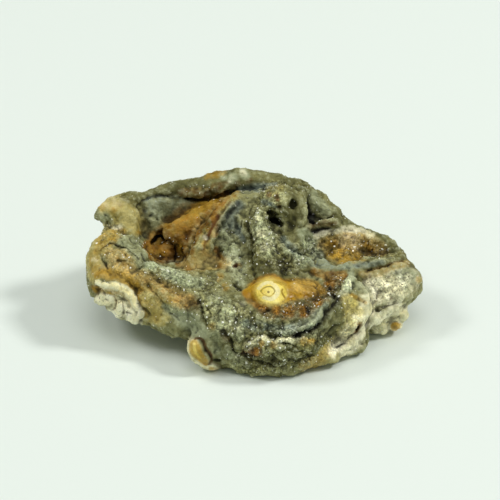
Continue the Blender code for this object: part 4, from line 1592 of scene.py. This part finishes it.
    Stain("trough right of the apex", Pigment.PAINTED_SHADE, 1.0, (
        (307, 206, 3.4), (308, 215, 5.2), (311, 222, 5.2))),
    Stain("crevice of the right back", Pigment.PAINTED_SHADE, 0.5, (
        (312, 214, 2.5), (320, 218, 2.5), (330, 217, 2))),
    Stain("brown lip", Pigment.UMBER, 0.55, ((309, 229, 3), (316, 225, 3), (325, 222, 3), (335, 224, 3))),
    # Painted shade under the brown lip
    Stain("under the brown lip", Pigment.PAINTED_SHADE, 1.0, ((314, 233, 4.5), (321, 232, 5), (328, 229, 4.5))),
    Stain("left end of the right basin", Pigment.SAGE, 0.8, (
        (304, 234, 6), (311, 245, 8), (318, 256, 6))),
    Stain("tan of the right basin", Pigment.SAND, 0.8, (
        (322, 245, 6), (336, 244, 10), (350, 242, 11), (366, 243, 9), (380, 249, 7))),
    Stain("ochre of the right basin", Pigment.OCHRE, 0.6, (
        (330, 248, 7), (342, 252, 9), (356, 252, 10), (368, 250, 7))),
    Stain("rust of the right basin", Pigment.RUST, 0.25, (
        (335, 242, 5), (347, 241, 6), (359, 244, 7), (370, 248, 6))),
    Stain("yellow floor of the right basin", Pigment.OCHRE, 0.6, (
        (330, 256, 5), (342, 259, 5), (354, 261, 4))),
    Stain("rose tint of the right basin", Pigment.CREAM, 0.2, ((344, 241, 6), (356, 243, 7))),
    Stain("brown of the right basin", Pigment.UMBER, 0.2, (
        (366, 252, 4), (376, 254, 5), (386, 255, 4), (373, 259, 4))),
    # Painted highlight along the basin's sparkling rim
    Stain("pale rim of the right basin", Pigment.CREAM, 0.5, (
        (316, 237, 3), (330, 232, 3), (345, 230, 3), (360, 231, 3), (372, 236, 3))),
    Stain("blue ridge", Pigment.SLATE, 0.6, (
        (283, 240, 4), (290, 247, 4), (302, 257, 4), (314, 264, 4), (328, 267, 4), (345, 268, 3),
        (362, 265, 3), (382, 262, 2.5))),
    # Pale on the blue ridge: partly its own colour and partly painted highlight
    Stain("frost of the blue ridge", Pigment.SAGE, 0.5, ((296, 255, 3), (318, 266, 3), (352, 268, 3))),
    Stain("brown under the blue ridge", Pigment.RUST, 0.7, (
        (314, 272, 4), (324, 276, 4), (335, 278, 4), (345, 276, 4))),
    Stain("sand under the blue ridge", Pigment.SAND, 0.6, ((322, 277, 4), (332, 278, 4), (341, 277, 3))),
    Stain("furrow under the right rim", Pigment.UMBER, 0.55, (
        (368, 270, 2.5), (380, 268, 2), (392, 265, 2), (401, 262, 2))),
    Stain("tan band", Pigment.SAND, 0.55, ((364, 275, 4), (376, 273, 4), (392, 269, 4), (406, 264, 4))),
    Stain("chalk face", Pigment.CREAM, 0.65, (
        (370, 284, 9), (384, 289, 12), (398, 286, 12), (409, 280, 9), (394, 298, 9), (379, 301, 7))),
    Stain("chalk", Growth.CHALK, 1.0, (
        (372, 284, 9), (385, 288, 11), (398, 284, 11), (410, 280, 8), (392, 297, 8), (378, 300, 6))),
    Stain("sugar of the chalk face", Growth.SUGAR, 0.8, ((376, 286, 9), (390, 288, 11), (402, 284, 9))),
    Stain("grey of the chalk face", Pigment.SAGE, 0.5, ((400, 275, 6), (411, 276, 6), (407, 287, 4))),
    Stain("brown of the chalk face", Pigment.UMBER, 0.45, (
        (375, 297, 3), (392, 299, 3), (369, 276, 2)), joined=False),
    Stain("yellow of the tip", Pigment.OCHRE, 0.5, ((418, 279, 3),)),
    Stain("lobes at the lower right", Pigment.CREAM, 0.75, (
        (402, 309, 7), (399, 317, 7), (386, 318, 7), (378, 326, 8), (387, 332, 5))),
    Stain("ring of the ochre nodule", Pigment.CREAM, 0.9, ((395, 326, 6.5),)),
    Stain("ochre nodule", Pigment.OCHRE, 0.9, ((395, 326, 4.5),), crisp=2.0),
    Stain("middle of the ochre nodule", Pigment.UMBER, 0.4, ((395, 327, 2.3),)),
    Stain("quartz lobe", Pigment.SAGE, 0.9, ((344, 292, 5), (348, 284, 5), (351, 275, 4))),
    # Pale on the quartz lobe: partly its own colour and partly painted highlight
    Stain("frost of the quartz lobe", Pigment.CREAM, 0.3, ((343, 293, 4), (349, 283, 3)), joined=False),
    Stain("druse band", Pigment.UMBER, 0.6, (
        (258, 308, 4), (268, 312, 6), (280, 313, 8), (292, 310, 8), (303, 309, 8), (313, 304, 7),
        (322, 298, 7), (329, 290, 7), (335, 282, 7), (333, 276, 4))),
    Stain("rust of the druse band", Pigment.RUST, 0.75, (
        (264, 307, 4), (276, 309, 5), (288, 311, 5), (303, 312, 5), (318, 303, 5),
        (330, 283, 5)), joined=False),
    Stain("sand of the druse band", Pigment.SAND, 0.2, (
        (284, 306, 3), (296, 305, 4), (310, 300, 4), (268, 317, 3)), joined=False),
    # Painted shade in the pits of the druse band
    Stain("black of the druse band", Pigment.PAINTED_SHADE, 0.9, (
        (333, 297, 3.5), (308, 311, 2.5), (330, 289, 2)), joined=False),
    Stain("honey lens", Pigment.HONEY, 0.95, (
        (248, 293, 5), (257, 291, 10), (268, 290, 14), (281, 291, 12), (295, 290, 10), (309, 289, 9),
        (320, 291, 5)), crisp=2.0),
    Stain("smooth honey", Growth.CALM, 1.0, (
        (247, 293, 5), (257, 292, 10), (269, 290, 15), (285, 290, 10))),
    Stain("half smooth honey", Growth.CALM, 0.55, ((290, 289, 9), (304, 288, 9))),
    Stain("sugar of the honey", Growth.SUGAR, 0.3, ((298, 289, 6), (312, 290, 7))),
    Stain("rust rim of the lens", Pigment.RUST, 0.6, ((245, 294, 3), (252, 301, 4), (260, 307, 3))),
    Stain("tan end of the lens", Pigment.SAND, 0.5, (
        (296, 286, 6), (306, 286, 7), (316, 290, 6), (323, 294, 4))),
    Stain("dark left tip of the lens", Pigment.RUST, 0.35, ((247, 293, 4), (251, 291, 3))),
    Stain("rust top of the lens", Pigment.RUST, 0.5, (
        (254, 283, 3), (264, 277, 3), (276, 278, 3), (285, 283, 3))),
    Stain("glow round the orb", Pigment.IVORY, 0.45, ((268, 291, 13.5), (276, 293, 12.5)), crisp=2.0),
    Stain("orb", Pigment.IVORY, 0.95, ((268, 291.5, 11), (275, 293, 10), (283, 294.5, 4)), crisp=3.5),
    Stain("inside of the ring", Pigment.HONEY, 0.15, ((267.5, 292, 5),), crisp=2.0),
    Stain("white halo of the ring", Pigment.CREAM, 0.6, (
        (259, 289, 1.6), (264, 284, 1.6), (271, 283.5, 1.8), (276.5, 288, 2.2), (277, 294, 2.2),
        (272, 299, 2), (264, 298, 1.6)), crisp=1.5),
    Stain("ring of the orb", Pigment.UMBER, 0.55, (
        (261, 291.5, 0.7), (263.5, 288.5, 0.6), (268, 286.8, 0.7), (272, 287.6, 0.7), (274.6, 291, 0.7),
        (273.5, 294, 0.5)), crisp=2.0),
    Stain("lower part of the ring", Pigment.OCHRE, 0.6, (
        (273.5, 294, 0.6), (269.5, 297, 0.6), (265, 295.5, 0.5), (261.5, 292.5, 0.6)), crisp=2.0),
    Stain("dot of the orb", Pigment.UMBER, 0.7, ((268.5, 292.5, 1.3),), crisp=2.0),
    Stain("crescent of the orb", Pigment.OCHRE, 0.8, (
        (282, 289.5, 0.9), (281.5, 292, 0.9), (283, 295, 0.9), (285, 298, 0.8)), crisp=2.0),
    Stain("tan spot of the crescent", Pigment.SAND, 0.05, ((284.5, 293, 2.2),), crisp=2.0),
    Stain("arc of the orb", Pigment.OCHRE, 0.5, (
        (274, 282.5, 0.8), (278, 283, 0.8), (281.5, 285, 0.8)), crisp=2.0),
    Stain("blue band", Pigment.SLATE, 0.6, (
        (246, 323, 5), (258, 325, 6), (272, 329, 6), (286, 331, 6), (299, 327, 6), (310, 321, 6),
        (319, 313, 4), (325, 305, 3))),
    # Pale of the blue band: partly its own colour and partly painted highlight
    Stain("pale of the blue band", Pigment.SAGE, 0.5, (
        (300, 326, 4), (308, 322, 5), (316, 316, 4), (321, 309, 3))),
    Stain("frost of the blue band", Pigment.CREAM, 0.05, (
        (303, 323, 5), (312, 319, 4), (320, 311, 4), (294, 328, 3))),
    # Painted shade in the hole, hollow and groove beside the blue band
    Stain("dark of the blue band", Pigment.OLIVE, 0.8, (
        (253, 320, 4), (260, 326, 4), (267, 333, 3), (279, 320, 3)), joined=False),
    Stain("front right face", Pigment.STRAW, 0.75, (
        (348, 302, 8), (354, 314, 10), (350, 328, 10), (340, 341, 9), (327, 354, 8), (314, 361, 6))),
    Stain("pale of the front right face", Pigment.CREAM, 0.7, (
        (365, 300, 6), (362, 314, 8), (352, 327, 7), (342, 340, 7), (332, 351, 5))),
    Stain("white of the front right face", Pigment.IVORY, 0.35, (
        (354, 302, 4), (358, 312, 5), (352, 321, 4)), joined=False),
    Stain("tan streak of the front right face", Pigment.OCHRE, 0.6, (
        (352, 296, 2), (359, 299, 2), (366, 303, 2))),
    Stain("blue white of the front right face", Pigment.SAGE, 0.5, ((357, 284, 4), (366, 290, 4))),
    Stain("olive of the front right face", Pigment.OLIVE, 0.2, (
        (336, 310, 5), (331, 322, 6), (324, 333, 6), (318, 342, 5))),
    Stain("cream edge", Pigment.CREAM, 0.7, (
        (372, 298, 3), (372, 312, 3), (368, 323, 3), (354, 335, 3), (341, 344, 3), (332, 355, 3))),
    Stain("flange", Pigment.CREAM, 0.7, ((344, 350, 7), (356, 341, 7), (363, 332, 4))),
    Stain("rust hollow of the flange", Pigment.RUST, 0.8, ((359, 325, 3), (355, 331, 2.5))),
    Stain("tan foot of the right face", Pigment.SAND, 0.45, (
        (305, 365, 6), (318, 360, 6), (328, 352, 5))),
    Stain("tan crest", Pigment.CREAM, 0.3, (
        (248, 345, 4), (262, 340, 4), (276, 343, 4), (291, 341, 4), (301, 338, 4))),
    Stain("ochre of the tan crest", Pigment.OCHRE, 0.6, (
        (262, 344, 3), (273, 345, 3), (305, 342, 5), (312, 341, 4)), joined=False),
    Stain("rusty shelf", Pigment.UMBER, 0.85, ((244, 352, 2.5), (252, 352, 3.5), (260, 351, 3))),
    Stain("rust of the shelf", Pigment.RUST, 0.8, ((256, 351, 3),)),
    # Darker lower body: partly its own colour and partly painted shade
    Stain("grey of the lower body", Pigment.OLIVE, 0.45, (
        (240, 362, 6), (256, 365, 7), (272, 362, 8), (288, 360, 8), (302, 356, 7))),
    # Painted shade in the groove between the crests
    Stain("grey between the crests", Pigment.OLIVE, 0.7, ((290, 348, 4), (304, 350, 5), (316, 345, 5))),
    Stain("brown under the valley", Pigment.OCHRE, 0.45, (
        (220, 279, 4), (225, 288, 4), (213, 326, 4)), joined=False),
    Stain("lobe left of the crest", Pigment.SAGE, 0.5, ((238, 335, 6), (243, 327, 6), (235, 322, 5))),
    # Pale on the lobes' crests: partly its own colour and partly painted highlight
    Stain("frost of that lobe", Pigment.CREAM, 0.2, (
        (232, 323, 3), (239, 328, 3), (243, 304, 3), (262, 337, 3)), joined=False),
    Stain("brown pit of the nose", Pigment.UMBER, 0.5, ((225, 333, 4), (228, 339, 3))),
    Stain("grey left of the nose", Pigment.SAGE, 0.4, (
        (215, 300, 7), (225, 312, 9), (215, 345, 7), (240, 360, 6))),
    Stain("cream of the honey nodule", Pigment.CREAM, 0.65, (
        (193, 343, 5), (193, 352, 6), (199, 362, 6), (212, 369, 5))),
    Stain("honey nodule", Pigment.HONEY, 0.9, (
        (194, 342, 3.5), (196.5, 349, 5), (201, 357, 4.5), (205, 362, 3)), crisp=1.5),
    Stain("light of the honey nodule", Pigment.IVORY, 0.2, (
        (194, 342, 3.5), (196.5, 349, 5), (201, 357, 4.5)), crisp=1.5),
    Stain("olive of the honey nodule", Pigment.OLIVE, 0.25, (
        (194, 342, 3.5), (196.5, 349, 5), (201, 357, 4.5), (205, 362, 3)), crisp=1.5),
    Stain("pale streak of the honey nodule", Pigment.IVORY, 0.45, (
        (195, 343, 1.2), (197, 350, 1.2), (201, 356, 1)), crisp=1.5),
    Stain("brown line of the honey nodule", Pigment.UMBER, 0.85, (
        (195, 338, 1.5), (201, 338, 1.5), (206, 345, 1.8), (209, 352, 2), (211, 358, 1.5),
        (208, 363, 1.2)), crisp=1.5),
    Stain("cream lobe of the nodule", Pigment.CREAM, 0.7, ((212, 366, 3), (219, 368, 3)), crisp=1.5),
    Stain("half-moon of the nodule", Pigment.UMBER, 0.5, (
        (210, 363, 1.4), (216, 364, 1.4), (222, 367, 1.4)), crisp=1.5),
    Stain("light of the half-moon", Pigment.OCHRE, 0.6, (
        (209, 367, 2), (215, 369, 2), (221, 369, 1.5)), crisp=1.5),
    Stain("cream edge of the nodule", Pigment.STRAW, 0.2, (
        (190, 345, 2), (193, 357, 2.5), (201, 367, 2.5), (213, 371, 1.5))),
    Stain("smooth nodule", Growth.CALM, 0.8, (
        (197, 341, 5), (199, 350, 7), (204, 359, 7), (214, 366, 6))),
    Stain("smooth valley", Growth.CALM, 0.1, (
        (222, 236, 6), (228, 246, 9), (234, 258, 10), (238, 270, 8), (241, 282, 5))),
    Stain("smooth slope", Growth.CALM, 0.5, (
        (202, 204, 6), (191, 211, 8), (180, 219, 9), (170, 228, 9), (160, 236, 9))),
    Stain("smooth back wall", Growth.CALM, 0.6, (
        (152, 208, 8), (168, 207, 8), (183, 204, 6), (193, 203, 4))),
    Stain("smooth front right face", Growth.CALM, 0.55, (
        (350, 302, 9), (356, 314, 10), (352, 328, 10), (340, 341, 9), (327, 354, 8))),
    Stain("smooth front left face", Growth.CALM, 0.45, (
        (118, 274, 8), (134, 282, 9), (150, 290, 10), (160, 304, 11), (172, 300, 10))),
    Stain("smooth left knob", Growth.CALM, 0.45, (
        (106, 206, 9), (122, 207, 11), (132, 216, 10), (136, 228, 8), (120, 220, 8))),
    Stain("smooth back rim", Growth.CALM, 0.4, (
        (145, 190, 8), (170, 184, 8), (200, 179, 8), (240, 177, 9), (270, 181, 8))),
    Stain("smooth basin floor", Growth.CALM, 0.5, ((192, 263, 8), (206, 261, 9), (218, 262, 8))),
    Stain("smooth left lobe", Growth.CALM, 0.3, ((106, 240, 10), (98, 252, 10), (96, 268, 9))),
    Stain("sugar of the druse band", Growth.SUGAR, 1.0, (
        (262, 309, 4), (270, 313, 6), (281, 313, 8), (292, 309, 8), (303, 309, 8), (313, 304, 7),
        (322, 299, 6), (329, 291, 6), (336, 284, 7), (345, 284, 7))),
    Stain("sugar of the right basin", Growth.SUGAR, 0.7, (
        (325, 243, 9), (340, 247, 12), (358, 247, 12), (374, 251, 10), (388, 253, 8))),
    Stain("sugar of the front", Growth.SUGAR, 1.0, (
        (205, 300, 12), (230, 320, 18), (255, 335, 18), (285, 340, 18), (310, 335, 14))),
    Stain("sugar of the crest", Growth.SUGAR, 0.8, (
        (145, 268, 6), (165, 275, 8), (190, 284, 10), (210, 285, 10))),
    Stain("sugar of the middle", Growth.SUGAR, 1.0, (
        (275, 190, 12), (262, 225, 14), (270, 250, 14), (290, 262, 12), (310, 250, 12))),
    Stain("sugar of the left", Growth.SUGAR, 0.5, (
        (188, 300, 12), (165, 300, 12), (120, 258, 14), (110, 230, 12))),
    Stain("sugar of the front right face", Growth.SUGAR, 0.6, (
        (346, 302, 9), (352, 318, 10), (340, 338, 10), (322, 352, 10))),
    Stain("sugar of the valley", Growth.SUGAR, 0.6, ((226, 240, 8), (234, 258, 10), (240, 276, 8))),
    Stain("sugar of the lower body", Growth.SUGAR, 1.0, (
        (240, 360, 9), (262, 366, 9), (290, 362, 9), (308, 352, 9))),
    Stain("white growth of the left", Growth.CHALK, 0.8, (
        (103, 299, 7), (112, 300, 6), (120, 307, 7), (112, 314, 5), (129, 311, 6))),
)
# The same where the photograph doesn't show it: balls of x, y, z and radius in millimetres
PATCHES: tuple[Patch, ...] = (
    Patch("grey of the back", Pigment.SAGE, 0.5, (
        (-14, 16, 10, 6), (-4, 18, 10, 5), (8, 17, 9, 5), (20, 10, 8, 6))),
    Patch("slate of the back", Pigment.SLATE, 0.5, ((-8, 17, 13, 3), (0, 18, 13, 3), (15, 15, 12, 3))),
    Patch("chalky belt of the back", Pigment.CREAM, 0.6, (
        (-24, 6, 8, 3.5), (-19, 11, 6, 4), (-11, 14, 5, 4), (-3, 16, 5.5, 3.5), (6, 16, 5, 3.5),
        (14, 13, 5.5, 3.5), (21, 8, 6, 4))),
    Patch("straw of the back", Pigment.STRAW, 0.6, (
        (-16, 14, 8, 3), (3, 17.5, 8, 3), (18, 12, 8, 3), (24, 3, 8, 3))),
    Patch("tan of the back", Pigment.SAND, 0.6, (
        (-10, 16, 8.5, 2.5), (12, 16, 8, 3), (-20, 9, 10, 3), (9, 12, 3, 4))),
    Patch("ochre stains of the back", Pigment.OCHRE, 0.55, (
        (-6, 17, 8, 2), (16, 13.5, 8.5, 2), (-13, 11, 4, 3))),
    Patch("rust of the back", Pigment.RUST, 0.5, (
        (-6.5, 17.5, 6.5, 1.2), (15, 15, 7, 1.2), (-18, 12, 7.5, 1.5))),
    Patch("white crust of the underside", Pigment.CREAM, 0.5, (
        (-12, 4, 3, 5), (0, 11, 2.5, 5), (15, -2, 2, 5), (-6, -8, 3, 5))),
    # Painted shade on the underside where the stone rests
    Patch("dark foot", Pigment.OLIVE, 0.5, ((6, -5, 0, 9),)),
)


@dataclass
class Rose:
    """The stone: its skin and the quartz that grew on it.

    The cells are sides of the skin's faces in millimetres, and budget is about how many triangles stay
    after thinning. A face counts as turned away from the photo past turned, and fully so a quarter
    further on. reliefs are name, rounds of evening and full height in millimetres.
    """

    base_cell: float = 0.36
    fine_cell: float = 0.225
    budget: int = 158_000
    turned: float = -0.05
    turning: float = 0.25
    thinning_levels: int = 8
    thinning_pull: float = 10.0
    reliefs: tuple[tuple[str, int, float], ...] = (("relief", 8, 0.16), ("swell", 70, 0.8))
    grain: Grain = Grain()
    crystals: tuple[Crystals, ...] = (SUGAR, DRUSE)

    def start(self) -> bpy.types.Object:
        """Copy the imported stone, add the small feet under it and lay a fine, smooth skin over all.

        Returns:
            The new object.
        """
        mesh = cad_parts[NODE].data.copy()
        mesh.name = "rose_skin"
        mesh.materials.clear()
        rose = bpy.data.objects.new("rose_skin", mesh)
        bpy.context.scene.collection.objects.link(rose)
        grid = bmesh.new()
        grid.from_mesh(mesh)
        bmesh.ops.remove_doubles(grid, verts=grid.verts, dist=0.002 * MM)
        for x, y, z, radius in FEET:
            place = Matrix.Translation(Vector((x, y, z)) * MM)
            bmesh.ops.create_icosphere(grid, subdivisions=3, radius=radius * MM, matrix=place)
        grid.to_mesh(mesh)
        grid.free()
        remesh(rose, self.base_cell, 8)
        return rose

    def thin(self, rose: bpy.types.Object) -> None:
        """Use fewer faces where the photograph's camera doesn't see the stone.

        Args:
            rose: the skin.
        """
        skin = Skin(rose)
        away = skin.average(skin.normals @ np.array(VIEW.forward), 4)
        share = np.clip((away - self.turned) / self.turning, 0.0, 1.0)
        group = rose.vertex_groups.new(name="away")
        for level in range(1, self.thinning_levels + 1):
            rows = np.nonzero(np.round(share * self.thinning_levels) == level)[0]
            group.add(rows.tolist(), level / self.thinning_levels, "REPLACE")
        fewer = rose.modifiers.new("fewer", "DECIMATE")
        fewer.vertex_group = group.name
        fewer.vertex_group_factor = self.thinning_pull
        fewer.ratio = min(1.0, self.budget / (2.0 * len(rose.data.polygons)))
        settle(rose)
        rose.vertex_groups.clear()

    def refine(self, rose: bpy.types.Object, middle: tuple[float, float], reach: tuple[float, float]) -> None:
        """Split the faces of one oval of the photograph, for drawn lines finer than the skin's own faces.

        Args:
            rose: the skin.
            middle: the oval's middle in pixels.
            reach: its half width and half height in pixels.
        """
        skin = Skin(rose)
        centre = np.array(skin.hit(*middle))
        depth = 1.6
        limit = reach[0] / VIEW.pixels_per_mm * depth * MM
        inside = np.linalg.norm((VIEW.project(skin.points) - middle) / reach, axis=1) < 1.0
        inside &= np.linalg.norm(skin.points - centre, axis=1) < limit
        grid = bmesh.new()
        grid.from_mesh(rose.data)
        grid.verts.ensure_lookup_table()
        edges = [e for e in grid.edges if inside[e.verts[0].index] and inside[e.verts[1].index]]
        bmesh.ops.subdivide_edges(grid, edges=edges, cuts=1, use_grid_fill=True)
        pixels = VIEW.project(np.array([v.co for v in grid.verts]))
        inside = np.linalg.norm((pixels - middle) / reach, axis=1) < 1.0
        near = [v for v, close in zip(grid.verts, inside) if close and (v.co - Vector(centre)).length < limit]
        for _ in range(2):
            bmesh.ops.smooth_vert(
                grid, verts=near, factor=0.5, use_axis_x=True, use_axis_y=True, use_axis_z=True)
        grid.to_mesh(rose.data)
        grid.free()

    def relief(self, skin: Skin) -> None:
        """Store how far each point stands out from what is around it.

        Args:
            skin: the finished skin.
        """
        ends = skin.points[skin.edges]
        lengths = np.repeat(np.linalg.norm(ends[:, 0] - ends[:, 1], axis=1), 2)
        count = np.bincount(skin.edges.ravel(), minlength=len(skin.points))
        spacing = np.bincount(skin.edges.ravel(), lengths, len(skin.points)) / np.maximum(count, 1)
        spacing = skin.average(spacing, 3)
        fine = np.clip((np.percentile(spacing, 40) / np.maximum(spacing, 1e-9)) ** 2, 0.0, 1.0)
        for name, rounds, depth in self.reliefs:
            even = skin.average(skin.points, rounds)
            out = ((skin.points - even) * skin.normals).sum(1) / (depth * MM) * fine
            skin.store(name, np.clip(0.5 + 0.5 * out, 0.0, 1.0))

    def build(self, minerals: Minerals) -> None:
        """Make the skin and its quartz and tie them to the body.

        Args:
            minerals: the stone's materials.
        """
        rose = self.start()
        skin = Skin(rose)
        skin.work(FORMS)
        remesh(rose, self.fine_cell, 2)
        self.thin(rose)
        self.refine(rose, ORB_MIDDLE, ORB_SURROUND)
        self.refine(rose, ORB_MIDDLE, ORB_REACH)
        skin.read()
        skin.work(DETAILS)
        skin.paint(STAINS, PATCHES, FORMS + DETAILS)
        self.grain.apply(rose, minerals.stone())
        skin.read()
        skin.write()
        skin.work(RINGS)
        self.relief(skin)
        rose.data.shade_smooth()
        triangles = sum(len(face.vertices) - 2 for face in rose.data.polygons)
        log.info("rose_skin: %d faces, %d triangles", len(rose.data.polygons), triangles)
        quartz = minerals.quartz()
        pieces = [rose] + [kind.build(rose, quartz) for kind in self.crystals]
        for piece in pieces:
            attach(piece, BODY)
        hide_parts(NODE)


@dataclass(frozen=True)
class Softbox:
    """A square studio light that is turned to the middle of the stone, at the height aim."""

    name: str
    place: tuple[float, float, float]
    side: float
    power: float
    colour: tuple[float, float, float] = (1.0, 1.0, 1.0)
    aim: float = 8.0 * MM

    def build(self) -> None:
        """Hang the light."""
        data = bpy.data.lights.new(self.name, "AREA")
        data.size = self.side
        data.energy = self.power
        data.color = self.colour
        lamp = bpy.data.objects.new(self.name, data)
        bpy.context.scene.collection.objects.link(lamp)
        lamp.location = self.place
        beam = Vector((0.0, 0.0, self.aim)) - Vector(self.place)
        lamp.rotation_euler = beam.to_track_quat("-Z", "Y").to_euler()


@dataclass(frozen=True)
class Studio:
    """The pale floor, the lights and the even light around them."""

    floor_colour: tuple[float, float, float, float] = (0.77, 0.83, 0.77, 1.0)
    air_colour: tuple[float, float, float, float] = (0.93, 1.0, 0.94, 1.0)
    air_strength: float = 0.25
    backdrop_strength: float = 0.9
    floor_side: float = 4.0
    floor_roughness: float = 0.9
    floor_specular: float = 0.1
    lights: tuple[Softbox, ...] = (
        Softbox("right_softbox", (0.78, 0.04, 0.80), 0.18, 6.2),
        Softbox("left_softbox", (-0.70, 0.02, 0.82), 0.26, 3.2),
        Softbox("upper_softbox", (0.0, -0.15, 1.2), 0.9, 5.0),
    )

    def build(self) -> None:
        """Set up the floor, the lights and the surroundings."""
        mesh = bpy.data.meshes.new("studio_floor")
        half = self.floor_side / 2
        corners = [(-half, -half, 0.0), (half, -half, 0.0), (half, half, 0.0), (-half, half, 0.0)]
        mesh.from_pydata(corners, [], [(0, 1, 2, 3)])
        floor = bpy.data.objects.new("studio_floor", mesh)
        bpy.context.scene.collection.objects.link(floor)
        material = bpy.data.materials.new("studio_floor")
        material.use_nodes = True
        shader = material.node_tree.nodes["Principled BSDF"]
        shader.inputs["Base Color"].default_value = self.floor_colour
        shader.inputs["Roughness"].default_value = self.floor_roughness
        shader.inputs["Specular IOR Level"].default_value = self.floor_specular
        mesh.materials.append(material)
        world = bpy.data.worlds.new("studio_air")
        world.use_nodes = True
        build = Tree(world.node_tree)
        seen = build.node("ShaderNodeLightPath").outputs["Is Camera Ray"]
        more = self.backdrop_strength - self.air_strength
        strength = math_node(build, "MULTIPLY_ADD", seen, more, self.air_strength)
        air = build.node("ShaderNodeBackground", {"Color": self.air_colour, "Strength": strength})
        build.node("ShaderNodeOutputWorld", {"Surface": air.outputs[0]})
        bpy.context.scene.world = world
        for light in self.lights:
            light.build()
        bpy.context.scene.view_settings.view_transform = "Standard"


def main() -> None:
    """Build the stone, the studio and the camera."""
    VIEW.build()
    Studio().build()
    Rose().build(Minerals())


if __name__ == "__main__":
    main()
